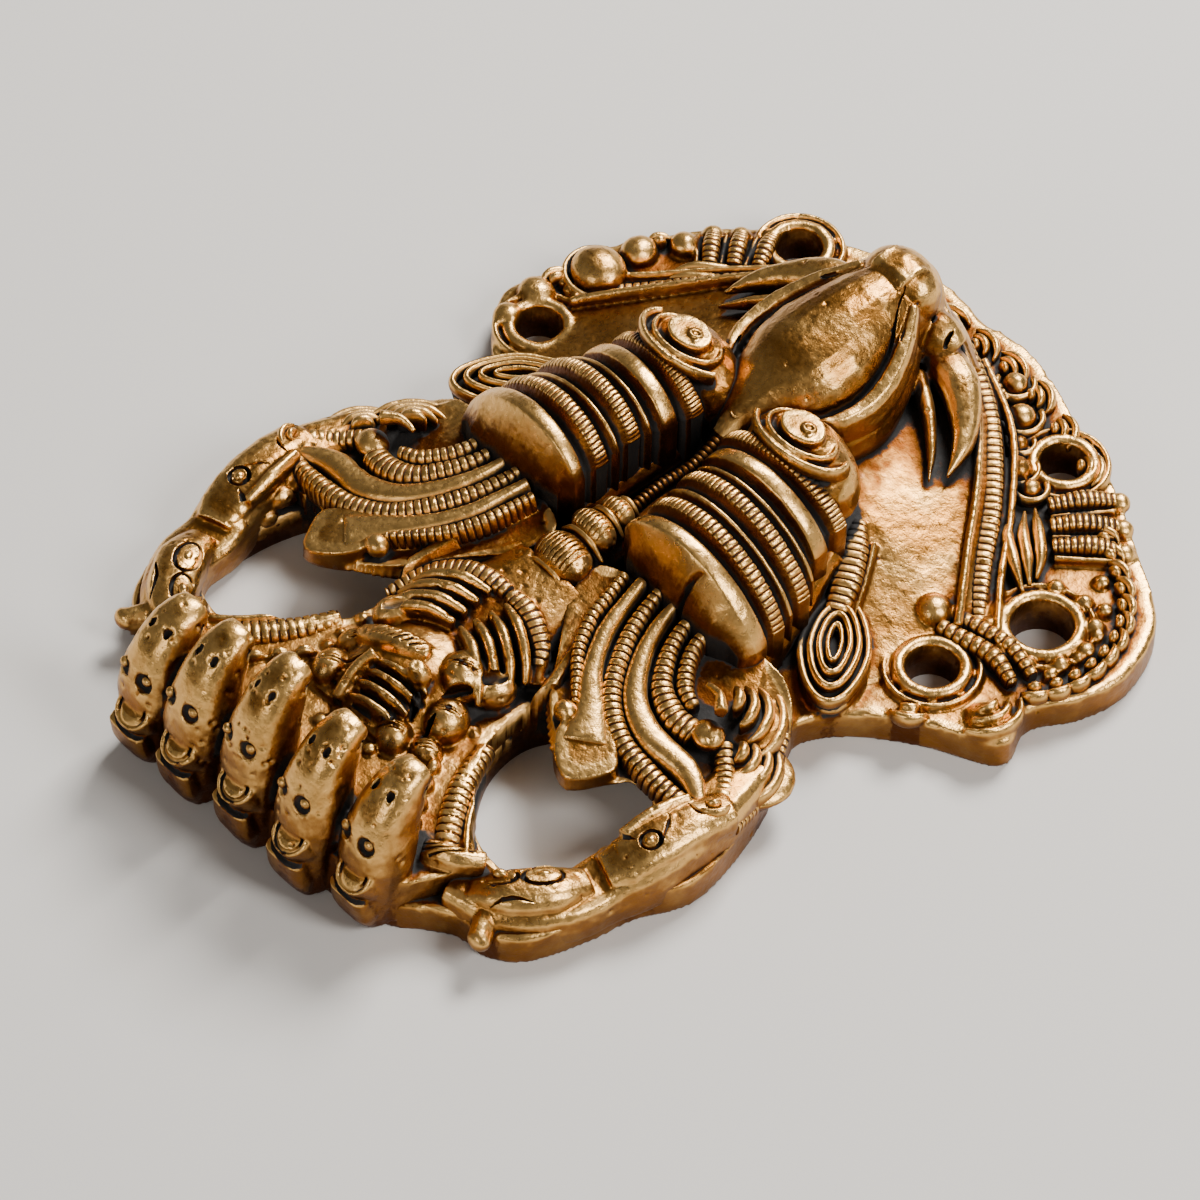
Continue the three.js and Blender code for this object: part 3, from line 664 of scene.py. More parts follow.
def dome(shapes, side):
    """One eye's dome of ribs, row after row from the brow to the eye's disc."""
    rows = [(inner, outer, lift, *row, float(name == "visor")) for name, (inner, outer, lift) in RIBS.items()
            for row in RIB_ROWS.get(name, ROPE_ROWS)]
    inner = np.array([r[0] for r in rows])
    outer = np.array([r[1] for r in rows])
    lift, shift, drop, beaded, dark, visor = (np.array([r[k] for r in rows]) for k in range(2, 8))
    last = len(rows) - 1
    bead_run = 31.0
    pitch = round(bpy.context.scene.mask_sizes.bead_pitch, 3)

    def notch(t, k):
        """The wedge that is cut into the right visor's face."""
        if side > 0:
            return np.zeros_like(t)
        reach = np.clip((-1.1 - shift[k]) / 2.2, 0, 1) * visor[k]
        return reach * np.clip(1 - np.abs(t - 0.66 - 0.02 * shift[k]) / 0.028, 0, 1)

    def arch(t, k):
        base = inner[k] + (outer[k] - inner[k]) * t[:, None]
        rise = DOME_CREST + lift[k] - (inner[k, 2] + outer[k, 2]) / 2
        return base[:, 0], base[:, 1], base[:, 2] + rise * np.clip(1 - (2 * t - 1) ** 2, 0,
                                                                   None) ** ARCH_POWER

    def at(u, k):
        t = 0.003 + 0.994 * ARCH_PLACE(u)
        x, down, up = arch(t, k)
        ahead = arch(np.clip(t + 0.012, 0, 1), k)
        behind = arch(np.clip(t - 0.012, 0, 1), k)
        dx, dz = ahead[0] - behind[0], ahead[2] - behind[2]
        length = np.hypot(dx, dz)
        middle = np.clip(4 * t * (1 - t), 0, 1)
        taper = 0.3 + 0.7 * middle**0.5
        face = np.interp(t, [0, 0.12, 0.4, 0.75, 1], [0.5, 0.75, 1, 0.7, 0.12])
        inward = drop[k] * np.where((visor[k] > 0) & (shift[k] < 0), face, taper)
        inward = inward + beaded[k] * BEAD_CUT * bead_cuts(u * bead_run, pitch)
        deep = np.minimum(inward, 2.0)
        x = x + deep * dz / length
        z = up - deep * dx / length - (inward - deep)
        front = np.interp(t, [0, 0.15, 0.5, 0.85, 1], [0.5, 0.75, 1.05, 1.2, 0.8])
        widen = np.where((visor[k] > 0) & (shift[k] < 0), front, 1)
        cut = notch(t, k)
        return np.stack([SHIFT + side * x, MIDDLE - (down + shift[k] * widen + 1.3 * cut), z - 0.8 * cut], 1)

    def place(u, v):
        q = v * last
        low = np.clip(np.floor(q).astype(int), 0, last - 1)
        part = (q - low)[:, None]
        a, b = at(u, low), at(u, low + 1)
        return a + (b - a) * part

    def paint(u, v):
        q = v * last
        low = np.clip(np.floor(q).astype(int), 0, last - 1)
        cut = (beaded[low] + (beaded[low + 1] - beaded[low]) * (q - low)) * bead_cuts(u * bead_run, pitch)
        base = dark[low] + (dark[low + 1] - dark[low]) * (q - low)
        t = ARCH_PLACE(u)
        return np.maximum.reduce([base, 0.9 * cut, 1.6 * notch(t, low), 0.5 * np.clip(1 - t / 0.06, 0, 1)])

    shapes.block(320, int(last * 1.5), place, RIM - 1.5, paint)


def _arch_places():
    """Spaces the ribs' points evenly along their arch."""
    t = np.linspace(0, 1, 400)
    x = ARCH_REACH * t
    z = ARCH_RISE * np.clip(1 - (2 * t - 1) ** 2, 0, None) ** ARCH_POWER
    run = np.r_[0, np.cumsum(np.hypot(np.diff(x), np.diff(z)))]
    return lambda u: np.interp(u, run / run[-1], t)


ARCH_PLACE = _arch_places()


def eye_disc(shapes, side):
    """The lids and the disc at a dome's foot."""
    shapes.ball(spot(side, 10.6, 23.6, 16.4), (8.8, 5.9, 7.3))
    # what fills the gaps between the ribs' inner and outer ends
    shapes.tube(spots(side, [(6.4, 0.5, 9.6), (6.2, 8, 10.4), (5.4, 16, 11.4), (4.6, 20, 12.4)]), 2.4, 3.0,
                around=14, paint=0.3)
    shapes.tube(spots(side, [(24.6, 3, 6.4), (23, 10, 7.0), (20.4, 17, 8.8), (19.4, 20.6, 10.4)]), 2.0, 2.8,
                around=14, paint=0.2)
    tilt = (0, 0.32)
    centre = spot(side, 10.4, 23.4, 23.5)
    shapes.ring(spot(side, 10.5, 23.4, 21.6), (7.0, 4.3), 0.55, 1.2, tilt, arc=(20, 200) if side < 0
                else (-20, 160))
    shapes.ring(spot(side, 10.5, 23.4, 22.4), (5.0, 3.4), 0.4, 1.0, tilt)
    shapes.tube([(centre[0], centre[1], centre[2] - 2.4), (centre[0], centre[1] - 0.25, centre[2] + 0.9)],
                [3.5, 3.2], [2.6, 2.35], around=28, step=0.6, sideways=(1, 0, 0))
    shapes.ring((centre[0] - 0.9, centre[1] - 0.4, centre[2] + 0.85), (0.75, 0.65), 0.22, 0.4, tilt)
    shapes.ring((centre[0] + 0.1, centre[1], centre[2] + 0.8), (2.1, 1.5), 0.2, 0.3, tilt, arc=(150, 300))


def make_eyes():
    """Both domes with their lids."""
    shapes = Shapes()
    for side in (1, -1):
        dome(shapes, side)
    ribs = shapes.mesh("eyes")
    discs = Shapes()
    for side in (1, -1):
        eye_disc(discs, side)
    return finished(joined(ribs, fused(discs, "lids", 0.2)), "ribbed_eyes", uneven=0.05)


# The fans over the brows
FAN_EDGE = [(4.5, -3.5), (14, -1), (26.5, 3), (34, 1), (39, -8), (41.5, -16), (37, -20.5), (29.5, -20.8),
            (27.8, -22.6), (24.4, -27.8), (20.4, -25.2), (14.5, -21.5), (9.5, -15.5), (4.5, -9)]
# Cords over each fan: line over the face, half widths, and the pitch of its beads or None for a plain one
FAN_STRIPS = [
    ([(8.4, -3.6), (9.2, -7), (10.1, -10.6), (12.2, -14.6), (15.6, -18.2), (17.4, -20)],
     [0.7, 0.95, 1.0, 0.9, 0.55], 0.95),
    ([(10.6, -2.8), (11.4, -6.4), (12.8, -11), (15.6, -15.6), (19, -19), (22, -22.6)],
     [0.8, 1.1, 1.3, 1.9, 3.4], None),
    ([(13, -2), (13.7, -5.4), (15.4, -9.8), (19.4, -15.8), (24.6, -18.9), (31, -19.4), (36.6, -18.9)],
     [0.85, 1.2, 1.35, 1.4, 1.45, 1.2], 1.0),
    ([(15.6, -1.6), (16.2, -5), (18, -9.4), (21.6, -13.9), (26.6, -15.9), (33, -15.6), (38.2, -17.9)],
     [0.75, 1.15, 1.6, 1.9, 1.8, 0.9], None),
    ([(18.2, -1.4), (18.7, -4), (20.1, -7.2), (22.8, -10.6), (26.4, -11.9), (29.6, -11.6)],
     [0.85, 1.15, 1.4, 1.7, 1.8], 0.98),
    ([(20.8, -1.2), (21.2, -3.6), (22.4, -6), (24.6, -8.4), (27, -9.4)], [0.85, 1.1, 1.2, 1.0], 0.95),
    ([(32.6, -9.2), (36, -12.2), (39.2, -15.8), (40.6, -19.4)], [1.1, 1.5, 1.6, 1.3], 1.05),
]


def make_fans():
    """The fans of cords and shell petals over the brows."""
    shapes = Shapes()
    cords = Shapes()
    for side in (1, -1):
        outline = closed_outline([spot(side, *p, 0)[:2] for p in FAN_EDGE])
        shapes.slab(outline, 3.4, lambda x, down: fan_top(x, down) - 1.7)
        for points, wide, rope in FAN_STRIPS:
            line = [(a, d, fan_top(a, d) - 1.1) for a, d in points]
            if rope:
                cords.rope(side, line, wide, 2.1, rope, 0.34)
            else:
                cords.tube(spots(side, line), wide, 2.1, around=18, square=0.72)
            shapes.tube(spots(side, [(a, d, z - 0.5) for a, d, z in line]), 0.6, 1.6)
        # the scroll at the end of the first cord, and the blunt foot of the second
        tip = fan_top(19, -21)
        shapes.ball(spot(side, 17.6, -21.6, tip + 0.1), (1.7, 1.5, 1.5))
        foot = [spot(side, *p, 0)[:2] for p in ((19, -19.4), (18.4, -23.4), (20.8, -26.4), (24.6, -27.6),
                                                (27.4, -22.8),
                                                (26, -20.6), (22.6, -18.8))]
        shapes.slab(closed_outline(foot), 6, lambda x, down: fan_top(x, down) + 0.5, rounding=0.35)
        # the hook that the fifth cord ends in
        shapes.ball(spot(side, 31.2, -10.6, fan_top(31, -10) + 0.2), (2.3, 2.1, 1.7))
        shapes.tube(spots(side, [(31.6, -9, 14), (29.6, -7.4, 14.1), (27.2, -7.2, 13.8)]), [0.9, 0.6, 0.3],
                    [1.2, 0.9, 0.5])
        # two sets of nested shell petals towards the outer edge
        for a0, d0, reaches, first, last in ((28.8, -6.2, (2.2, 4.0, 5.8, 7.6), -0.15, 1.6),
                                             (34.1, -9.6, (1.7, 3.2, 4.7, 6.1), -0.4, 1.55)):
            shapes.ball(spot(side, a0 + 2.6, d0 + 2.0, fan_top(a0 + 3, d0) - 2.4), (5.0, 5.0, 1.6))
            for k, reach in enumerate(reaches):
                arc = [(a0 + reach * math.cos(q), d0 + reach * math.sin(q),
                        fan_top(a0 + reach, d0) + 0.6 - 0.42 * k)
                       for q in np.linspace(first, last, 7)]
                cords.tube(spots(side, arc), [0.25, 0.7, 0.8, 0.7, 0.25], [1.2, 1.9, 2.0, 1.9, 1.2],
                           around=12, square=0.8)
        edge = [(35.4, -1.4), (38, -6), (40, -10.6), (41.6, -15.6)]
        cords.rope(side, [(a, d, fan_top(a, d) - 1.6) for a, d in edge], 0.7, 0.9, 0.9, 0.25)
        # a smaller row of ridges on the side that faces the opening
        path, _ = smooth_path([(a, d, 0) for a, d in ((10.4, -16.8), (14.4, -21.4), (19, -25))], 1.1)
        for a, d, _z in path:
            shapes.tube(spots(side, [(a + 0.3, d + 0.3, fan_top(a, d) - 2.2), (a - 0.1, d - 0.1, 8)]), 0.42,
                        0.42, around=8)
    mesh = fused(shapes, "fans", 0.22)
    cutters = Shapes()
    loop_hole_cutter(cutters, 7.6)
    return finished(joined(carved(mesh, cutters), cords.mesh("cords")), "brow_fans", pits=50)


# The looped necks and their beasts' heads
LOOP = [(36.4, -8, 9), (38.2, -17, 9.6), (38.2, -26, 9.2), (36.6, -32, 6.8), (35.6, -38, 7),
        (31.5, -43.5, 7.2),
        (25, -45.5, 7.6)]


def make_loops():
    """The looped necks, each with two beasts' heads."""
    shapes = Shapes()
    cutters = Shapes()
    cords = Shapes()
    for side in (1, -1):
        low = [(a, d, z / 2) for a, d, z in LOOP]
        shapes.tube(spots(side, low), [3.2, 4.0, 4.2, 3.9, 3.8, 3.8], [4.2, 4.6, 4.4, 3.2, 3.3, 3.4],
                    around=16, square=0.55)
        # the first beast: neck, cheek, brow and a blunt snout
        shapes.tube(spots(side, [(39.8, -15.2, 7.2), (38.9, -20.6, 7.8), (38.2, -26, 7.6),
                                 (37.4, -29.6, 6.8)]),
                    [2.6, 3.3, 3.5, 3.3], [2.4, 2.8, 2.7, 2.2], around=18, square=0.7)
        shapes.tube(spots(side, [(37.6, -29.2, 6.4), (36.6, -32, 5.8)]), [3.4, 2.6], [2.6, 2.2], around=18,
                    square=0.6)
        shapes.tube(spots(side, [(36.6, -18.6, 9.4), (35.7, -23, 9.6), (35, -28, 8.8)]), [0.8, 1.0, 0.8],
                    [1.4, 1.6, 1.2])
        eye = spot(side, 38.4, -26.4, 10.0)
        cutters.ring((eye[0], eye[1], eye[2] + 0.1), (1.25, 1.25), 0.3, 1.0)
        cords.ball((eye[0], eye[1], eye[2] - 0.15), (0.75, 0.75, 0.7), fine=2)
        for a, d, long in ((36.6, -28.0, 1.3), (36.2, -30.2, 1.2)):
            cutters.tube(spots(side, [(a + 0.2 * long, d + 0.35, 10.6), (a - 0.5 * long, d, 10.4),
                                      (a - 1.2 * long, d - 0.5, 9.8)]),
                         [0.1, 0.5, 0.55], [1.2, 1.5, 1.2], around=8)
        cutters.tube(spots(side, [(36.6, -22, 11), (38, -23.2, 11), (39.2, -25.2, 10.4)]), [0.1, 0.32, 0.1],
                     [0.5, 1.0, 0.5], around=8)
        cutters.tube(spots(side, [(40.6, -18, 10.4), (39, -19.4, 10.8), (37.4, -19.4, 11)]), [0.1, 0.4, 0.1],
                     1.0, around=8)
        petals(cords, side, (38.6, -16.6), (1.0, 2.2), -0.6, 1.1, 9.8, 0.5)
        # lumps on the side towards the opening
        rng = np.random.default_rng(21)
        for k in range(12):
            d = -18 - 1.2 * k
            r = rng.uniform(0.8, 1.6)
            shapes.ball(spot(side, 34.9 + rng.uniform(-0.4, 0.5), d, rng.uniform(2.4, 7.4)), (r, r * 1.2, r),
                        fine=2)
        # the second beast with its almond eyes
        shapes.tube(spots(side, [(36, -34.6, 5.4), (34.4, -39, 6.2), (31.4, -43.2, 6.2), (28, -45.6, 5.4)]),
                    [2.2, 3.4, 3.3, 2.2], [2.0, 2.8, 2.7, 2.0], around=18, square=0.75)
        for a, d, turn, rx, ry in ((33.2, -39, 0.55, 1.2, 2.1), (29.6, -42.8, 0.95, 1.15, 1.9)):
            top = spot(side, a, d, 8.9)
            cutters.ring(top, (rx + 0.35, ry + 0.35), 0.3, 1.0, turn=side * turn)
            cords.ball((top[0], top[1], top[2] - 0.35), (rx * 0.55, ry * 0.5, 0.7), (0, 0, side * turn))
        cutters.tube(spots(side, [(35.4, -42.4, 8.2), (33.4, -44, 8.6), (31.8, -46.4, 7.6)]),
                     [0.1, 0.35, 0.1], 0.9, around=8)
        shapes.tube(spots(side, [(31.2, -46, 4.4), (33, -49, 4)]), [1.9, 1.5], [2.4, 2.2])
        shapes.ball(spot(side, 33.2, -49.2, 4.6), (1.6, 1.3, 1.5))
    mesh = levelled(fused(shapes, "loops", 0.25))
    return finished(joined(carved(mesh, cutters), cords.mesh("cords")), "looped_necks", pits=70, pit_above=2)


# The crown of snakes with the small lion under it
# Heads of the crown: place across, how far each stands back towards the chin, how much lower it is
SNAKES = [(-18.4, 3.1, 5.2), (-9.7, 0.5, 2.4), (0, 0.2, 0.2), (9.8, -0.6, 2.4), (18.6, -0.6, 5.6)]


def snake_place(number):
    """Places on one head of the crown, scaled to its height."""
    x, drop, short = SNAKES[number + 2]
    tall = (27.0 - short) / 27.0
    return lambda down, up, across=0.0: spot(1, x + across, down + drop, up * tall)


def snake(shapes, cutters, balls, number):
    """One hooded head with its disc, eyes, nostrils and mouth lines."""
    at = snake_place(number)
    spine = [(-55.9, 0.9), (-56.1, 6), (-55.9, 11), (-55.2, 15.6), (-54, 20), (-52.4, 23.2), (-50.6, 25.2),
             (-48.8, 25.6)]
    shapes.tube([at(d, z) for d, z in spine], [3.6, 3.9, 4.2, 4.6, 4.3, 3.7, 3.2, 2.2],
                [3.6, 3.6, 3.7, 4.2, 4.2, 3.8, 3.2, 1.6], around=24, step=0.6, sideways=(1, 0, 0), square=0.8)
    # the disc on its chamfered base, tilted outwards and up
    disc = (-59.8, 12.2)

    def on_disc(reach, q, out=0.0):
        return at(disc[0] + 0.77 * reach * math.sin(q) - 0.64 * out,
                  disc[1] + 0.64 * reach * math.sin(q) + 0.77 * out,
                  reach * math.cos(q) - 0.6)

    shapes.tube([on_disc(0, 0, -5), on_disc(0, 0, -0.4), on_disc(0, 0, 0.1)], [3.1, 3.1, 2.7],
                [2.9, 2.9, 2.5], around=28, step=0.5,
                sideways=(1, 0, 0))
    shapes.tube([at(-57, 0.9), at(-58.9, 4), at(-59.9, 8.2)], [2.8, 3.4, 3.0], [2.0, 1.8, 1.4], around=20,
                sideways=(1, 0, 0), square=0.6)
    cutters.tube([on_disc(1.95, q) for q in np.linspace(0, 2 * math.pi, 17)[:-1]], 0.28, 0.5, closed=True,
                 around=8)
    shapes.tube([on_disc(3.1, q, 0.2) for q in np.linspace(0.5, 2.64, 9)], [0.2, 0.55, 0.2], 0.6, around=8)
    for s in (-1, 1):
        eye = (0.5 + s * 2.1, 18.5)
        cutters.ball(at(-59.0, eye[1], eye[0]), (1.5, 1.15, 1.5), fine=3)
        balls.ball(at(-58.05, eye[1] - 0.1, eye[0]), (0.78, 0.7, 0.78), fine=2)
        cutters.ball(at(-54.6, 25.9, s * 1.35), (0.5, 0.65, 1.4), fine=2)
        cutters.tube([at(-52.4, 21.6, s * 4.5), at(-51, 23.6, s * 3.4), at(-49.4, 25, s * 1.8)], 0.22, 0.7,
                     around=6)


def small_lion(shapes, cutters, cords):
    """The small lion's face with its collar."""
    def place(s, down, up):
        return spot(1, -s, down, up)

    shapes.ball(place(-0.4, -30.5, 6.8), (9.4, 11.4, 6.6))
    # the forehead band with its comb of cuts
    brow = [(-8.0, -31.9, 9.8), (-5.0, -31.4, 11.2), (-2.0, -30.5, 12.0), (1.2, -29.3, 12.0)]
    shapes.tube([place(*p) for p in brow], [1.6, 2.0, 2.0, 1.4], [2.0, 2.6, 2.6, 2.0], around=20, square=0.8)
    for n in range(8):
        s, d = -6.8 + 1.05 * n, -31.9 + 0.33 * n
        cutters.tube([place(s - 0.5, d - 0.9, 14.2), place(s + 0.5, d + 1.0, 14.4)], 0.16, 1.1, around=6)
    # the bars towards the crown, with deep slots between them
    for s, d, z in ((-0.4, -34.4, 12.8), (-0.5, -36.0, 12.2), (-0.4, -37.6, 11.4), (0.0, -39.2, 10.4)):
        bar = [place(s - 1.8, d - 0.3, z - 0.6), place(s + 0.8, d, z + 0.4), place(s + 3.6, d + 0.5, z + 0.2),
               place(s + 5.6, d + 0.9, z - 0.8)]
        shapes.tube(bar, [0.4, 0.62, 0.62, 0.4], [1.3, 1.7, 1.7, 1.3], around=14)
        cutters.tube([place(s - 1.0, d - 0.85, z + 1), place(s + 1.8, d - 0.6, z + 1.4),
                      place(s + 4.4, d - 0.2, z + 1)],
                     [0.2, 0.36, 0.2], 1.8, around=8)
    shapes.tube([place(-3.0, -40.2, 9.4), place(-3.4, -37, 11.6), place(-3.0, -34, 13)], 0.9, 1.9, around=14)
    # nose, eyes and cheeks
    shapes.ball(place(3.4, -32.9, 14.0), (1.7, 1.5, 2.1))
    for s, d, z, turn in ((2.6, -30.0, 15.2, -0.5), (-3.2, -33.4, 14.8, 0.4), (5.4, -34.4, 12.6, 0.2)):
        cutters.ball(place(s, d, z), (1.3, 0.75, 1.6), (0, 0, turn), fine=3)
    shapes.ring(place(3.2, -33.1, 15.7), (0.8, 0.75), 0.26, 0.4)
    for s, d, z, r in ((5.4, -27.6, 11.4, 3.5), (8.2, -32.6, 9.4, 3.2), (5.4, -38.6, 8.8, 2.7),
                       (-7.6, -37.6, 9.2, 2.7),
                       (9.4, -37, 8, 2.3), (-8.6, -32.8, 9, 2.4)):
        shapes.ball(place(s, d, z), (r, r * 0.85, r * 0.9), (0, 0, s))
        for n in (-1, 0, 1):
            cutters.tube([place(s - r * 0.5 + 0.8 * n, d - 0.9, z + r * 0.72),
                          place(s + 0.8 * n, d, z + r * 0.9),
                          place(s + r * 0.5 + 0.8 * n, d + 0.9, z + r * 0.7)], [0.05, 0.2, 0.05], 0.5,
                         around=6)
    for s, d, z in ((7.2, -30.0, 12), (5.2, -35.2, 11.6), (8.0, -35.2, 10.4), (-5.4, -35.4, 11.8)):
        cutters.ball(place(s, d, z), (2.0, 0.5, 1.9), (0, 0, s), fine=3)
    # ears
    for s, d, z in ((-7.8, -27.0, 11.6), (8.6, -25.4, 10.6)):
        shapes.ball(place(s, d, z - 0.6), (2.4, 3.0, 2.4), (0, 0, -0.5))
        cutters.ball(place(s, d, z + 1.8), (0.9, 2.0, 1.1), (0, 0, -0.5), fine=3)
    # strands behind the ears, then the roped collar
    for n, d in enumerate((-24.6, -22.4, -20.2, -18.0)):
        for side in (1, -1):
            strand = [(0.6 + 0.3 * n, d + 0.8, 12.8), (4.2 + 0.3 * n, d - 0.4, 13.2),
                      (7.6 + 0.4 * n, d - 2.4, 11.8),
                      (9.4 + 0.4 * n, d - 4.0, 10.2)]
            shapes.tube(spots(side, strand), [0.5, 0.8, 0.8, 0.4], [1.2, 1.6, 1.6, 0.9], square=0.8)
    for side, ends in ((1, [(11, -20.4, 9.6), (12.4, -24.4, 8.6)]), (-1, [(9.6, -19, 10.4)])):
        collar = [(0.2, -15.2, 12.4), (4, -15.6, 12.3), (8, -17.2, 11.2), *ends]
        cords.rope(side, collar, [1.2, 1.5, 1.5, 1.3, 0.8], [1.4, 1.7, 1.6, 1.0], 1.0, 0.24)
        shapes.tube(spots(side, [(0.2, -15.2, 11.4), (4, -15.6, 11.3), (8, -17.2, 10.2), (11, -20.4, 8.6)]),
                    1.3, 1.8)
    # lumps of metal about the foot of the face
    rng = np.random.default_rng(11)
    for _ in range(26):
        q = rng.uniform(0, 2 * math.pi)
        a, d = 0.5 + 11.2 * math.cos(q), -31 + 12.6 * math.sin(q)
        r = rng.uniform(0.5, 1.2)
        shapes.ball(spot(1, a, d, 8.2 + rng.uniform(-0.6, 0.6)), (r, r * rng.uniform(0.7, 1.3), r), fine=2)


def make_crown():
    """The five heads, the lion's face and the bands that hold them."""
    shapes = Shapes()
    cutters = Shapes()
    cords = Shapes()
    for number in range(-2, 3):
        snake(shapes, cutters, cords, number)
    band = [(-27, -44), (-22.5, -53.5), (-10, -57), (10, -57), (22.5, -53.5), (27, -44), (17, -37), (13, -30),
            (12.6, -20),
            (8, -8), (-8, -8), (-12.6, -20), (-13, -30), (-17, -37)]
    shapes.slab([spot(1, *p, 0)[:2] for p in band], 1.2, 8.2)
    shapes.tube([spot(1, 0, -40, 4), spot(1, 0, -22, 6.4), spot(1, 0, -8, 8)], [10.5, 9.5, 8], 5.4, around=20,
                square=0.7)
    small_lion(shapes, cutters, cords)
    for side in (1, -1):
        rope = [(23.6, -46.8, 7.4), (21.2, -43.8, 8.2), (18.2, -40, 8.4), (15.6, -35.8, 8.4),
                (13.8, -31, 8.4)]
        cords.rope(side, [(a, d, z - 0.7) for a, d, z in rope], [1.2, 1.7, 1.8, 1.6, 1.2],
                   [1.4, 1.8, 1.7, 1.3], 1.1, 0.32)
        shapes.tube(spots(side, [(a, d, z - 1.6) for a, d, z in rope]), 1.5, 2.6)
        shapes.tube(spots(side, [(25, -44.2, 6.4), (20.4, -39.4, 6.8), (16.8, -33, 6.8), (14.4, -26, 7.4),
                                 (12.8, -19, 8.4),
                                 (11.4, -13.4, 9.6)]), [0.8, 0.8, 0.9, 1.2, 1.4, 1.6],
                    [2.4, 2.4, 2.6, 3, 3.4, 3.8])
        shapes.tube(spots(side, [(26.6, -43, 7.2), (24.4, -45.6, 8.2), (21, -47.4, 8.4)]), 1.6, 2.4)
        for k in range(3):
            cutters.tube(spots(side,
                               [(26.8 - 1.5 * k, -41.6 - 1.2 * k, 9.4),
                                (24.6 - 1.4 * k, -45.4 - 0.9 * k, 10.4),
                                (22.6 - 1.4 * k, -48 - 0.6 * k, 9.6)]), 0.16, 1.0, around=6)
        # little leaves between the cord and the lion
        for k in range(4):
            a, d = 17.6 - 1.7 * k, -45.6 + 2.5 * k
            shapes.tube(spots(side, [(a, d - 1.6, 7.8), (a - 0.4, d, 8.7), (a - 1.6, d + 1.2, 8)]),
                        [0.25, 0.8, 0.3], [0.5, 1.1, 0.5])
    mesh = levelled(fused(shapes, "crown", 0.23))
    hole = Shapes()
    loop_hole_cutter(hole, 40)
    mesh = carved(mesh, hole)
    return finished(joined(carved(mesh, cutters), cords.mesh("cords")), "snake_crown", pits=420, pit_above=9)


MUZZLE = [(21, 12.6, 2.0, 4.6), (24.5, 13.8, 4.6, 6.4), (29, 15, 7.2, 7.8), (34, 16, 8.6, 9.0),
          (39, 16.6, 8.8, 9.4),
          (44, 17.2, 7.8, 9.6), (48, 17.8, 6.9, 9.4), (51.4, 18.2, 6.0, 8.2), (53.8, 18, 4.4, 6.4)]


def knob(shapes, cords, cutters):
    """The banded knob on the forehead: smooth lumps with cuts over their crests and lines between them."""
    for d, z, w, deep, tall, cuts in ((-6.4, 12.4, 4.3, 3.3, 3.5, 8), (-1.4, 14.2, 3.5, 2.2, 2.7, 7),
                                      (2.6, 14.6, 2.6, 1.7, 2.0, 5)):
        shapes.ball(spot(1, 0, d, z), (w, deep, tall))
        for n in range(cuts):
            a = (n - (cuts - 1) / 2) * 0.72
            drop = tall * (1 - math.sqrt(max(0.0, 1 - (a / w) ** 2)))
            cutters.tube([spot(1, a, d - deep * 0.75, z + tall * 0.66 - drop),
                          spot(1, a, d - deep * 0.1, z + tall - drop + 0.05),
                          spot(1, a, d + deep * 0.62, z + tall * 0.78 - drop)], [0.06, 0.13, 0.06], 0.36,
                         around=6)
    for d, z, w in ((-3.3, 15.0, 3.6), (0.8, 15.9, 2.8), (-9.3, 13.4, 3.9), (4.3, 15.4, 2.0)):
        line = [(-w, d, z - 2.2), (-w * 0.5, d, z - 0.5), (0, d, z), (w * 0.5, d, z - 0.5), (w, d, z - 2.2)]
        cords.tube(spots(1, line), [0.25, 0.42, 0.42, 0.25], [0.4, 0.6, 0.6, 0.4])


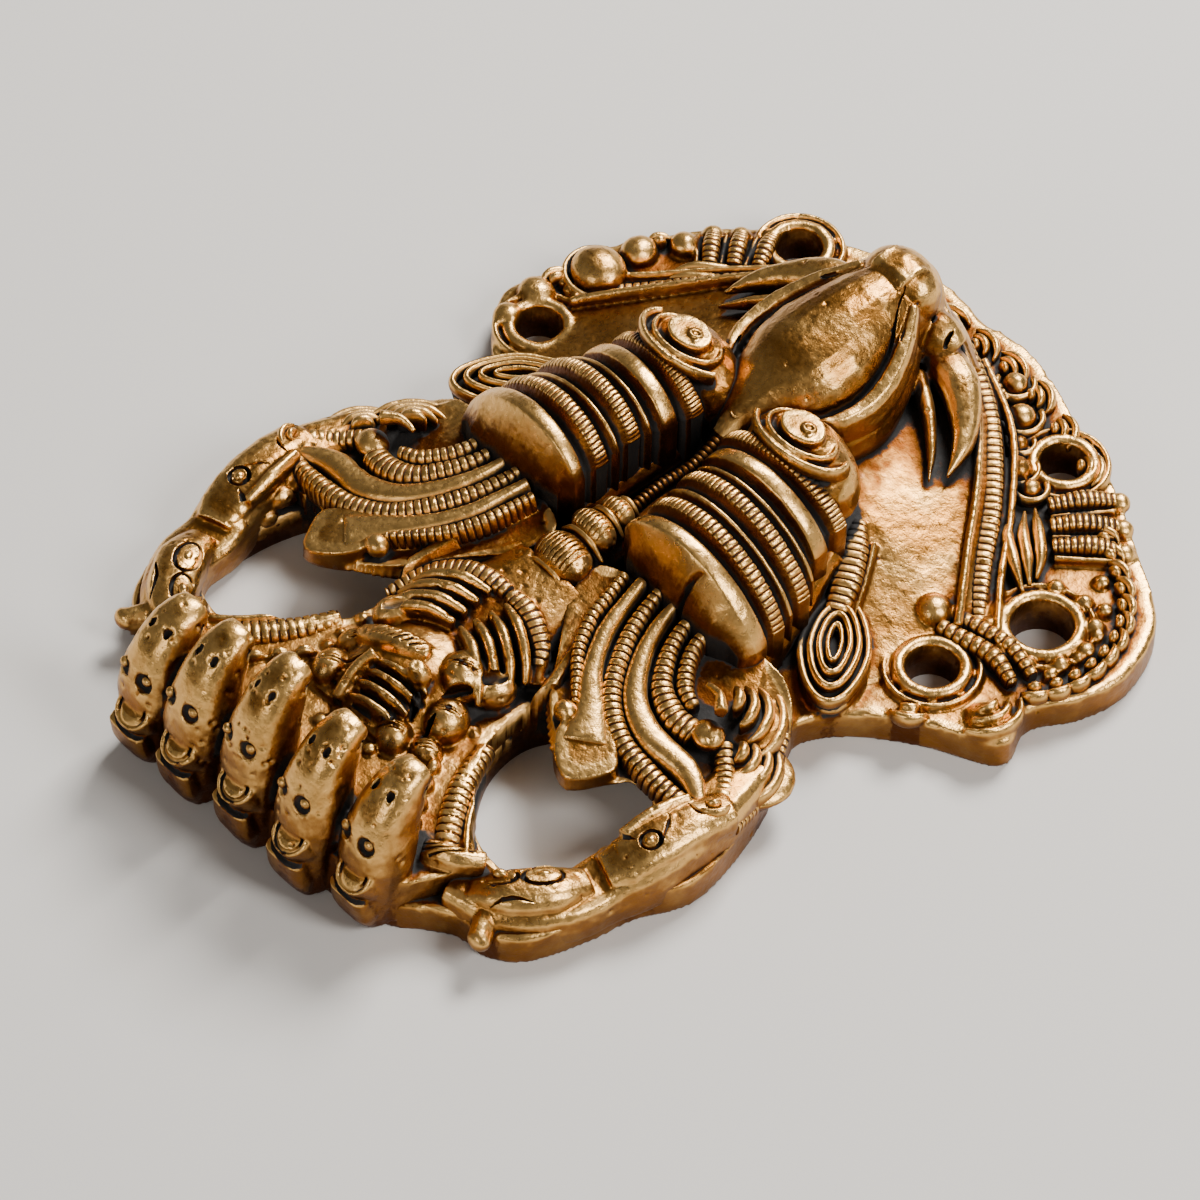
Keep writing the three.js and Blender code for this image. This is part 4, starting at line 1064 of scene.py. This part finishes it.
def make_snout():
    """The snout with its nostril wings, the fangs and the forehead's knob."""
    shapes = Shapes()
    cutters = Shapes()
    cords = Shapes()
    shapes.tube([spot(1, 0, d, z) for d, z, _w, _h in MUZZLE], [m[2] for m in MUZZLE], [m[3] for m in MUZZLE],
                around=28,
                step=0.8, sideways=(1, 0, 0), square=0.88)
    shapes.ball(spot(1, 0, 50.2, 22.6), (5.8, 4.4, 5.0))
    shapes.tube([spot(1, -2.8, 49.6, 25.2), spot(1, 2.8, 49.6, 25.2)], 2.6, 2.2, around=16, square=0.7)
    for side in (1, -1):
        wing = [(7.2, 26.6, 17.2), (9.7, 31.6, 16.8), (10, 37, 17.4), (8.4, 42, 19.2), (5.8, 46.4, 21.6),
                (4.2, 48.4, 23)]
        shapes.tube(spots(side, wing), [0.5, 1.2, 1.5, 1.5, 1.3, 0.7], [2.6, 3.4, 3.6, 3.2, 2.2], square=0.7)
        shapes.tube(spots(side, [(a, d, z - 3.4) for a, d, z in wing[:5]]), 1.8, 3.4)
        for shift, deep in ((-1.35, 1.1), (0.1, 0.5)):
            line = [(6.4 + shift * 0.6, 26.8, 19.3), (9.2 + shift, 31.8, 19.3), (9.6 + shift, 37, 19.9),
                    (8.2 + shift, 41.6, 21.6), (5.4 + shift, 45.6, 24.4), (3.6 + shift * 0.6, 48, 26.2)]
            cutters.tube(spots(side, line), [0.12, 0.3, 0.34, 0.34, 0.28, 0.1],
                         [0.3, deep, deep, deep, deep, 0.3], around=8)
        fork = [(4.4, 44.6, 26.4), (3.2, 47, 27.6), (2.7, 49, 28.2)]
        cutters.tube(spots(side, fork), [0.12, 0.36, 0.1], [0.5, 1.1, 0.6], around=8)
        shapes.tube(spots(side, [(3.0, 49.8, 15), (5.2, 51.2, 15.8), (7.8, 51.8, 14.6)]), [3.2, 3.7, 2.6],
                    [4.4, 4.8, 4.0], around=20)
        cutters.tube(spots(side, [(2.6, 54.6, 15.2), (4.4, 53.6, 17.8), (5.6, 50.2, 20.4)]),
                     [0.15, 0.4, 0.15], 0.9, around=8)
        cutters.tube(spots(side, [(9.6, 47.0, 18.4), (8.4, 50.2, 19), (7.6, 53.6, 17.4)]), [0.15, 0.35, 0.15],
                     1.2, around=8)
        fang = [(7.4, 50.4, 14.8), (12.6, 49, 14.4), (17.2, 45.6, 13), (19.4, 42.4, 12.4), (20.6, 39.4, 11.8)]
        shapes.tube(spots(side, fang), [2.9, 2.8, 2.1, 1.3, 0.12], [2.6, 2.7, 2.2, 1.6, 0.4], around=18,
                    square=0.85)
        thin = [(7.6, 46.4, 14.4), (12.6, 43.6, 13.4), (16.6, 40.4, 12.4), (19.6, 37.2, 11.6)]
        shapes.tube(spots(side, thin), [1.2, 1.0, 0.7, 0.1], [2.0, 1.8, 1.4, 0.4], around=14)
    shapes.tube([spot(1, -9, 52.6, 9.4), spot(1, 0, 55.8, 10.6), spot(1, 9, 52.6, 9.4)], 3.6, 4.0, around=14)
    knob(shapes, cords, cutters)
    # the dark seam between the eyes with its fine twisted cord
    shapes.tube([spot(1, 0, -8, 10), spot(1, 0, 2, 10), spot(1, 0, 12, 10.4), spot(1, 0, 22, 11)],
                [3.4, 2.8, 2.4, 2.4], 3.0, around=14,
                paint=0.4)
    cords.tube(spots(1, [(0, 4.5, 13.6), (0.3, 10, 14), (-0.2, 15, 14.6), (0.1, 20, 16)]), 0.85, 0.8,
               beads=(0.8, 0.35), around=14,
               paint=0.3)
    shapes.tube([spot(1, 0, 20.6, 15), spot(1, 0, 23.6, 17)], [1.7, 1.5], [2.2, 2.4], around=16, square=0.5)
    cords.ring(spot(1, 0, 22.3, 18.7), (0.75, 0.7), 0.2, 0.3)
    mesh = fused(shapes, "snout", 0.23)
    return finished(joined(carved(mesh, cutters), cords.mesh("cords")), "snout_and_fangs", pits=40,
                    pit_above=8)


# Patina and painted shade: how deep each place lies among its neighbours, and how much sky it sees
CROWN_FROM = 48  # beyond this Y the outer wall is the crown's
CROWN_WALL = 11.0
WALL_FADE = 1.5
MOST_TRIANGLES = 160000


def relief_map(pieces, cell=0.25):
    """The highest point over each cell of the face, in millimetres."""
    points = []
    for piece in pieces:
        co = np.empty(len(piece.data.vertices) * 3)
        piece.data.vertices.foreach_get("co", co)
        points.append(co.reshape(-1, 3) / MM)
    points = np.concatenate(points)
    low = points.min(0)[:2] - 8
    size = np.ceil((points.max(0)[:2] + 8 - low) / cell).astype(int)
    top = np.zeros(size)
    index = ((points[:, :2] - low) / cell).astype(int)
    np.maximum.at(top, (index[:, 0], index[:, 1]), points[:, 2])
    for _ in range(2):  # closes cells that hold no corner
        near = np.maximum.reduce([np.roll(top, 1, 0), np.roll(top, -1, 0), np.roll(top, 1, 1),
                                  np.roll(top, -1, 1)])
        lone = (top < near - 1.0) & (np.minimum.reduce([np.roll(top, 1, 0), np.roll(top, -1, 0),
                                                        np.roll(top, 1, 1),
                                                        np.roll(top, -1, 1)]) > top + 0.8)
        top = np.where(lone, near, top)
    return top, low, cell


def openness(points, normals, relief, reach, rays=16, steps=7):
    """How much of the sky in front of each point is clear within reach, from 0 to 1."""
    top, low, cell = relief
    start = points + normals * 0.42
    seen = np.zeros(len(points))
    weights = np.full(len(points), 1e-3)
    for k in range(rays):
        a = 2 * math.pi * k / rays
        worst = np.zeros(len(points))
        for n in range(1, steps + 1):
            r = reach * (n / steps) ** 1.6 + 0.12
            i = np.clip(((start[:, 0] + r * math.cos(a) - low[0]) / cell).astype(int), 0, top.shape[0] - 1)
            j = np.clip(((start[:, 1] + r * math.sin(a) - low[1]) / cell).astype(int), 0, top.shape[1] - 1)
            worst = np.maximum(worst, (top[i, j] - start[:, 2] - 0.1) / r)
        weight = np.clip(0.75 * (normals[:, 0] * math.cos(a) + normals[:, 1] * math.sin(a)) + 0.66
                         * normals[:, 2], 0, None)
        weight += 0.02
        seen += weight * (1 - worst / np.sqrt(1 + worst**2))
        weights += weight
    return seen / weights


def smoothed(values, edges, count, rounds):
    """The values evened out with their neighbours'."""
    degree = np.bincount(edges.ravel(), minlength=count).clip(1)
    for _ in range(rounds):
        sums = np.stack([np.bincount(edges[:, 0], values[edges[:, 1], k], count)
                         + np.bincount(edges[:, 1], values[edges[:, 0], k], count)
                         for k in range(values.shape[1])], 1)
        values = 0.5 * values + 0.5 * sums / degree[:, None]
    return values


def write_patina_and_shade(piece, relief):
    """Stores what the patina and the painted shade and highlights read at each point of the piece."""
    mesh = piece.data
    count = len(mesh.vertices)
    co = np.empty(count * 3)
    mesh.vertices.foreach_get("co", co)
    points = co.reshape(-1, 3) / MM
    normals = np.empty(count * 3)
    mesh.vertices.foreach_get("normal", normals)
    normals = normals.reshape(-1, 3)
    edges = np.empty(len(mesh.edges) * 2, int)
    mesh.edges.foreach_get("vertices", edges)
    edges = edges.reshape(-1, 2)
    soft = smoothed(points, edges, count, 6)
    edge = smoothed(((points - soft) * normals).sum(1)[:, None], edges, count, 1)[:, 0]
    top, low, cell = relief
    ridge = points[:, 2] - sampled(points, blurred(top, 0.9 / cell), low, cell)
    views = np.stack([openness(points, normals, relief, 1.5), openness(points, normals, relief, 6.5),
                      normals[:, 2]], 1)
    views = smoothed(views, edges, count, 3)
    # the outer wall stands close to the floor, and gets less painted shade than a cut does
    wall = np.where(points[:, 1] > CROWN_FROM, CROWN_WALL, RIM + 0.4)
    foot = np.clip((wall - points[:, 2]) / WALL_FADE, 0, 1) * (views[:, 2] < 0.5)
    views[:, 0] = np.maximum(views[:, 0], 0.7 * foot)
    # near_open and far_open say how much sky each point sees, and level how far it faces up; the brass is
    # painted in shade and highlight by them
    values = {"edge": edge, "ridge": ridge, "near_open": views[:, 0], "far_open": views[:, 1],
              "level": views[:, 2]}
    if "paint" not in mesh.attributes:
        values["paint"] = np.zeros(count)
    for name, value in values.items():
        layer = mesh.attributes.new(name, "FLOAT", "POINT")
        layer.data.foreach_set("value", value.astype(np.float32))


# Materials
def group(name, inputs, outputs):
    """An empty node group with its sockets."""
    tree = bpy.data.node_groups.new(name, "ShaderNodeTree")
    for label, kind, value in inputs:
        socket = tree.interface.new_socket(name=label, in_out="INPUT", socket_type=kind)
        socket.default_value = value
    for label, kind in outputs:
        tree.interface.new_socket(name=label, in_out="OUTPUT", socket_type=kind)
    return tree, tree.nodes.new("NodeGroupInput"), tree.nodes.new("NodeGroupOutput")


def node(tree, kind, settings=None, **links):
    """A node with its settings, and its inputs linked or set."""
    made = tree.nodes.new(kind)
    for key, value in (settings or {}).items():
        setattr(made, key, value)
    for key, value in links.items():
        by_number = key[0] == "i" and key[1:].isdigit()
        socket = made.inputs[int(key[1:]) if by_number else key.replace("_", " ")]
        if isinstance(value, bpy.types.NodeSocket):
            tree.links.new(value, socket)
        else:
            socket.default_value = value
    return made


def math_node(tree, operation, a, b=0.0):
    """The result of one sum in the node tree."""
    return node(tree, "ShaderNodeMath", {"operation": operation, "use_clamp": False}, i0=a, i1=b).outputs[0]


def ramp_value(tree, value, low, high):
    """A soft step from 0 at low to 1 at high."""
    made = node(tree, "ShaderNodeMapRange", {"interpolation_type": "SMOOTHSTEP"}, i0=value, i1=low, i2=high)
    return made.outputs[0]


def mixed(tree, factor, a, b):
    """Two colours mixed by the factor."""
    made = node(tree, "ShaderNodeMix", {"data_type": "RGBA"})
    for index, value in ((0, factor), (6, a), (7, b)):
        if isinstance(value, bpy.types.NodeSocket):
            tree.links.new(value, made.inputs[index])
        else:
            made.inputs[index].default_value = value
    return made.outputs[2]


def noise_value(tree, vector, scale, detail=3.0, rough=0.55):
    """Noise as a number from 0 to 1."""
    return node(tree, "ShaderNodeTexNoise", None, Vector=vector, Scale=scale, Detail=detail,
                Roughness=rough).outputs[0]


def patina_and_shade_group():
    """The colour of the patina with painted shade and highlights, and its roughness, metal and height."""
    looks = bpy.context.scene.mask_sizes
    tree, given, out = group("Brass patina", [
        (label, "NodeSocketColor", tuple(getattr(looks, label.lower())))
        for label in ("Bright", "Middle", "Brown", "Black", "Pink")],
        [("Color", "NodeSocketColor"), ("Roughness", "NodeSocketFloat"), ("Metallic", "NodeSocketFloat"),
         ("Height", "NodeSocketFloat")])
    place = node(tree, "ShaderNodeTexCoord").outputs["Object"]
    edge, ridge, near, far, level, paint = (node(tree, "ShaderNodeAttribute",
                                                 {"attribute_name": name}).outputs["Fac"]
                                            for name in ("edge", "ridge", "near_open", "far_open", "level",
                                                         "paint"))
    cloud = noise_value(tree, place, 150, 5)
    blotch = noise_value(tree, place, 520, 4)
    speck = noise_value(tree, place, 1500, 4)
    grain = noise_value(tree, place, 4200, 2)
    wobble = math_node(tree, "MULTIPLY", math_node(tree, "SUBTRACT", blotch, 0.5), 0.5)
    fine = math_node(tree, "MULTIPLY", math_node(tree, "SUBTRACT", speck, 0.5), 0.35)
    open_near = math_node(tree, "ADD", near, fine)
    open_far = math_node(tree, "ADD", math_node(tree, "ADD", far, wobble),
                         math_node(tree, "MULTIPLY", fine, 0.6))
    painted = math_node(tree, "ADD", paint, math_node(tree, "MULTIPLY", math_node(tree, "ADD", fine, wobble),
                                                      0.5))
    rise = math_node(tree, "ADD", ridge, math_node(tree, "MULTIPLY", math_node(tree, "ADD", fine, wobble),
                                                   0.5))
    # steep says how far a face turns up: faces that turn away get painted shade, and only faces that turn up
    # keep the painted highlight
    steep = math_node(tree, "ADD", level, wobble)
    # Brown: painted shade where little sky is open close by and farther off, in concave creases and on faces
    # that turn away from up; with it the patina that the paint attribute asks for, broken up by the cloud
    # noise
    brown = ramp_value(tree, open_far, 0.86, 0.5)
    brown = math_node(tree, "MAXIMUM", brown, ramp_value(tree, open_near, 0.88, 0.62))
    brown = math_node(tree, "MAXIMUM", brown, ramp_value(tree, edge, -0.025, -0.09))
    brown = math_node(tree, "MAXIMUM", brown, ramp_value(tree, painted, 0.12, 0.42))
    brown = math_node(tree, "MAXIMUM", brown, math_node(tree, "MULTIPLY", ramp_value(tree, steep, 0.55, -0.1),
                                                        0.6))
    brown = math_node(tree, "MULTIPLY", brown, ramp_value(tree, cloud, 0.15, 0.5))
    # Black: painted shade where very little sky is open close by and in deep concave creases, together with
    # the patina in the cuts that the paint attribute asks for
    black = math_node(tree, "MAXIMUM", ramp_value(tree, open_near, 0.6, 0.4),
                      ramp_value(tree, painted, 0.62, 0.85))
    black = math_node(tree, "MAXIMUM", black, ramp_value(tree, edge, -0.08, -0.15))
    # Rubbed brass on crests and raised edges, kept to faces that turn up: partly wear and partly a painted
    # highlight
    rub_and_highlight = math_node(tree, "MAXIMUM", ramp_value(tree, rise, 0.05, 0.4), ramp_value(tree, edge, 0.05, 0.13))
    rub_and_highlight = math_node(tree, "MULTIPLY", rub_and_highlight, ramp_value(tree, painted, 0.35, 0.1))
    rub_and_highlight = math_node(tree, "MULTIPLY", rub_and_highlight, ramp_value(tree, steep, 0.05, 0.5))
    colour = mixed(tree, math_node(tree, "MULTIPLY", ramp_value(tree, cloud, 0.4, 0.75), 0.6),
                   given.outputs["Middle"],
                   given.outputs["Bright"])
    pink = ramp_value(tree, blotch, 0.6, 0.7)
    pink = math_node(tree, "MULTIPLY", pink, math_node(tree, "MULTIPLY", ramp_value(tree, open_far, 0.9, 0.6),
                                                       0.7))
    colour = mixed(tree, pink, colour, given.outputs["Pink"])
    colour = mixed(tree, brown, colour, given.outputs["Brown"])
    colour = mixed(tree, rub_and_highlight, colour, given.outputs["Bright"])
    colour = mixed(tree, black, colour, given.outputs["Black"])
    tree.links.new(colour, out.inputs["Color"])
    rough = math_node(tree, "ADD", 0.3, math_node(tree, "MULTIPLY", math_node(tree, "MAXIMUM", brown, black),
                                                  0.14))
    rough = math_node(tree, "ADD", rough, math_node(tree, "MULTIPLY", black, 0.3))
    rough = math_node(tree, "ADD", rough, math_node(tree, "MULTIPLY", math_node(tree, "SUBTRACT", speck, 0.5),
                                                    0.3))
    tree.links.new(rough, out.inputs["Roughness"])
    tree.links.new(math_node(tree, "SUBTRACT", 1.0, black), out.inputs["Metallic"])
    height = math_node(tree, "ADD", math_node(tree, "MULTIPLY", speck, 0.5),
                       math_node(tree, "MULTIPLY", grain, 0.2))
    height = math_node(tree, "ADD", height, blotch)
    tree.links.new(height, out.inputs["Height"])
    return tree


def brass_material():
    """The one brass that every piece is made of, with its patina and its painted shade and highlights."""
    material = bpy.data.materials.new("aged_brass")
    material.use_nodes = True
    tree = material.node_tree
    shader = tree.nodes["Principled BSDF"]
    finish = node(tree, "ShaderNodeGroup", {"node_tree": patina_and_shade_group()})
    tree.links.new(finish.outputs["Color"], shader.inputs["Base Color"])
    tree.links.new(finish.outputs["Roughness"], shader.inputs["Roughness"])
    tree.links.new(finish.outputs["Metallic"], shader.inputs["Metallic"])
    bump_node = node(tree, "ShaderNodeBump", None, Strength=0.6, Distance=0.0002,
                     Height=finish.outputs["Height"])
    tree.links.new(bump_node.outputs["Normal"], shader.inputs["Normal"])
    return material


def soft_light(name, place, target, size, power, colour=(1, 1, 1)):
    """A rectangular light that faces the target."""
    light = bpy.data.lights.new(name, "AREA")
    light.shape = "RECTANGLE"
    light.size, light.size_y = size
    light.energy = power
    light.color = colour
    obj = bpy.data.objects.new(name, light)
    obj.location = place
    obj.rotation_mode = "QUATERNION"
    obj.rotation_quaternion = (Vector(target) - Vector(place)).to_track_quat("-Z", "Y")
    bpy.context.scene.collection.objects.link(obj)


FLOOR_SIDE = 1.5
FLOOR_DROP = 0.00005  # keeps the floor clear of the casting's rim


def make_stage():
    """The floor, the world and the three lights."""
    bm = bmesh.new()
    bmesh.ops.create_grid(bm, x_segments=2, y_segments=2, size=FLOOR_SIDE)
    bmesh.ops.translate(bm, verts=bm.verts, vec=(0, 0, -FLOOR_DROP))
    mesh = bpy.data.meshes.new("floor")
    bm.to_mesh(mesh)
    bm.free()
    floor = shown(mesh)
    material = bpy.data.materials.new("pale_floor")
    material.use_nodes = True
    shader = material.node_tree.nodes["Principled BSDF"]
    shader.inputs["Base Color"].default_value = bpy.context.scene.mask_sizes.floor_colour
    shader.inputs["Roughness"].default_value = 0.85
    mesh.materials.append(material)
    world = bpy.data.worlds.new("studio")
    world.use_nodes = True
    back = world.node_tree.nodes["Background"]
    back.inputs["Color"].default_value = (1.0, 0.96, 0.92, 1)
    back.inputs["Strength"].default_value = 0.13
    bpy.context.scene.world = world
    centre = (0.0, 0.0, 0.01)
    soft_light("key", (0.16, -0.52, 0.62), centre, (0.3, 0.3), 11.0, (1, 0.97, 0.93))
    soft_light("side", (-0.6, -0.15, 0.55), centre, (0.25, 0.4), 5.0, (1, 0.97, 0.94))
    soft_light("low_fill", (-0.1, 0.6, 0.35), centre, (0.3, 0.2), 0.9, (1, 0.95, 0.9))


CAMERA_PLACE = (-0.43069, 0.41290, 0.70005)
CAMERA_TURN = (40.484177, -1.231990, -131.792522)
CAMERA_LENS = 220.949


def make_camera():
    """The camera at the photograph's view."""
    data = bpy.data.cameras.new("view")
    data.lens = CAMERA_LENS
    data.sensor_width = 36
    data.clip_start, data.clip_end = 0.01, 10
    camera = bpy.data.objects.new("view", data)
    camera.location = CAMERA_PLACE
    camera.rotation_euler = [math.radians(a) for a in CAMERA_TURN]
    bpy.context.scene.collection.objects.link(camera)
    bpy.context.scene.camera = camera


def colour_property(name, description, colour):
    """A colour that the panel shows."""
    return bpy.props.FloatVectorProperty(name=name, description=description, subtype="COLOR", size=4,
                                         min=0, max=1, default=(*colour, 1))


class MaskSizes(bpy.types.PropertyGroup):
    """The size and the colours that the panel offers"""
    bead_pitch: bpy.props.FloatProperty(
        name="Bead pitch", description="Millimetres between the cuts of the cords over the eyes",
        default=0.92, min=0.3)
    # Bright also serves as the painted highlight on crests and edges that face up
    bright: colour_property("Bright", "Brass that hands have rubbed", (0.84, 0.49, 0.15))
    middle: colour_property("Middle", "Brass on open faces", (0.37, 0.158, 0.030))
    # Brown is partly patina and partly painted shade, laid where little sky is open, in creases and on faces
    # turned away from up
    brown: colour_property("Brown", "Patina on slopes and in hollows", (0.105, 0.030, 0.0045))
    # Black is partly the matter in the cuts and partly painted shade where very little sky is open close by
    black: colour_property("Black", "Matter in the cuts", (0.006, 0.0045, 0.004))
    pink: colour_property("Pink", "Crumbs of copper in the hollows", (0.52, 0.235, 0.125))
    floor_colour: colour_property("Floor", "Colour of the floor", (0.72, 0.70, 0.67))


class Maker(bpy.types.Operator):
    """What all the steps share"""
    bl_options = {"REGISTER", "UNDO"}


class MASK_OT_jaw(Maker):
    """Casts the back plate with the cheeks, the lip and the jaw"""
    bl_idname = "mask.jaw"
    bl_label = "Jaw and cheeks"

    def execute(self, context):
        make_jaw()
        return {"FINISHED"}


class MASK_OT_eyes(Maker):
    """Casts the two ribbed eyes"""
    bl_idname = "mask.eyes"
    bl_label = "Ribbed eyes"

    def execute(self, context):
        make_eyes()
        return {"FINISHED"}


class MASK_OT_fans(Maker):
    """Casts the fans over the brows"""
    bl_idname = "mask.fans"
    bl_label = "Brow fans"

    def execute(self, context):
        make_fans()
        return {"FINISHED"}


class MASK_OT_loops(Maker):
    """Casts the looped necks with their beasts' heads"""
    bl_idname = "mask.loops"
    bl_label = "Looped necks"

    def execute(self, context):
        make_loops()
        return {"FINISHED"}


class MASK_OT_crown(Maker):
    """Casts the crown of snakes and the small lion"""
    bl_idname = "mask.crown"
    bl_label = "Snake crown"

    def execute(self, context):
        make_crown()
        return {"FINISHED"}


class MASK_OT_snout(Maker):
    """Casts the snout, the fangs and the forehead's knob"""
    bl_idname = "mask.snout"
    bl_label = "Snout and fangs"

    def execute(self, context):
        make_snout()
        return {"FINISHED"}


class MASK_OT_patina_and_shade(Maker):
    """Works out how deep each place lies and how much sky it sees, and gives every piece its aged brass with
    painted shade and highlights
    """
    bl_idname = "mask.patina"
    # This step paints shade and highlights as well as the patina
    bl_label = "Patina"

    def execute(self, context):
        if not PIECES:
            raise RuntimeError("The patina needs at least one piece")
        relief = relief_map(PIECES)
        material = brass_material()
        for piece in PIECES:
            write_patina_and_shade(piece, relief)
            piece.data = thinned_data(piece)
            piece.data.materials.clear()
            piece.data.materials.append(material)
            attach(piece, "root")
            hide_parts(NODE)
        return {"FINISHED"}


def thinned_data(piece):
    """The piece's mesh, decimated to at most MOST_TRIANGLES triangles when it has more."""
    most = MOST_TRIANGLES
    mesh = piece.data
    count = sum(len(p.vertices) - 2 for p in mesh.polygons)
    if count <= most:
        return mesh
    thin = piece.modifiers.new("thin", "DECIMATE")
    thin.ratio = most / count
    bpy.context.view_layer.update()
    made = bpy.data.meshes.new_from_object(piece.evaluated_get(bpy.context.evaluated_depsgraph_get()))
    piece.modifiers.clear()
    made.name = mesh.name
    return made


class MASK_OT_stage(Maker):
    """Sets the pale floor, the soft lights and the camera"""
    bl_idname = "mask.stage"
    bl_label = "Stage"

    def execute(self, context):
        make_stage()
        make_camera()
        return {"FINISHED"}


class MASK_PT_panel(bpy.types.Panel):
    """Lists the steps that build the mask"""
    bl_label = "Brass Mask"
    bl_idname = "MASK_PT_panel"
    bl_space_type = "VIEW_3D"
    bl_region_type = "UI"
    bl_category = "Brass Mask"

    def draw(self, context):
        for name in MaskSizes.__annotations__:
            self.layout.prop(context.scene.mask_sizes, name)
        for step in STEPS:
            self.layout.operator(step.bl_idname)


STEPS = (MASK_OT_jaw, MASK_OT_eyes, MASK_OT_fans, MASK_OT_loops, MASK_OT_crown, MASK_OT_snout, MASK_OT_patina_and_shade,
         MASK_OT_stage)
CLASSES = (MaskSizes, *STEPS, MASK_PT_panel)


def register():
    for cls in CLASSES:
        bpy.utils.register_class(cls)
    bpy.types.Scene.mask_sizes = bpy.props.PointerProperty(type=MaskSizes)


def unregister():
    del bpy.types.Scene.mask_sizes
    for cls in reversed(CLASSES):
        bpy.utils.unregister_class(cls)


def main():
    """Registers the add-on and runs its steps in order."""
    register()
    for step in STEPS:
        area, name = step.bl_idname.split(".")
        getattr(getattr(bpy.ops, area), name)()


if __name__ == "__main__":
    main()
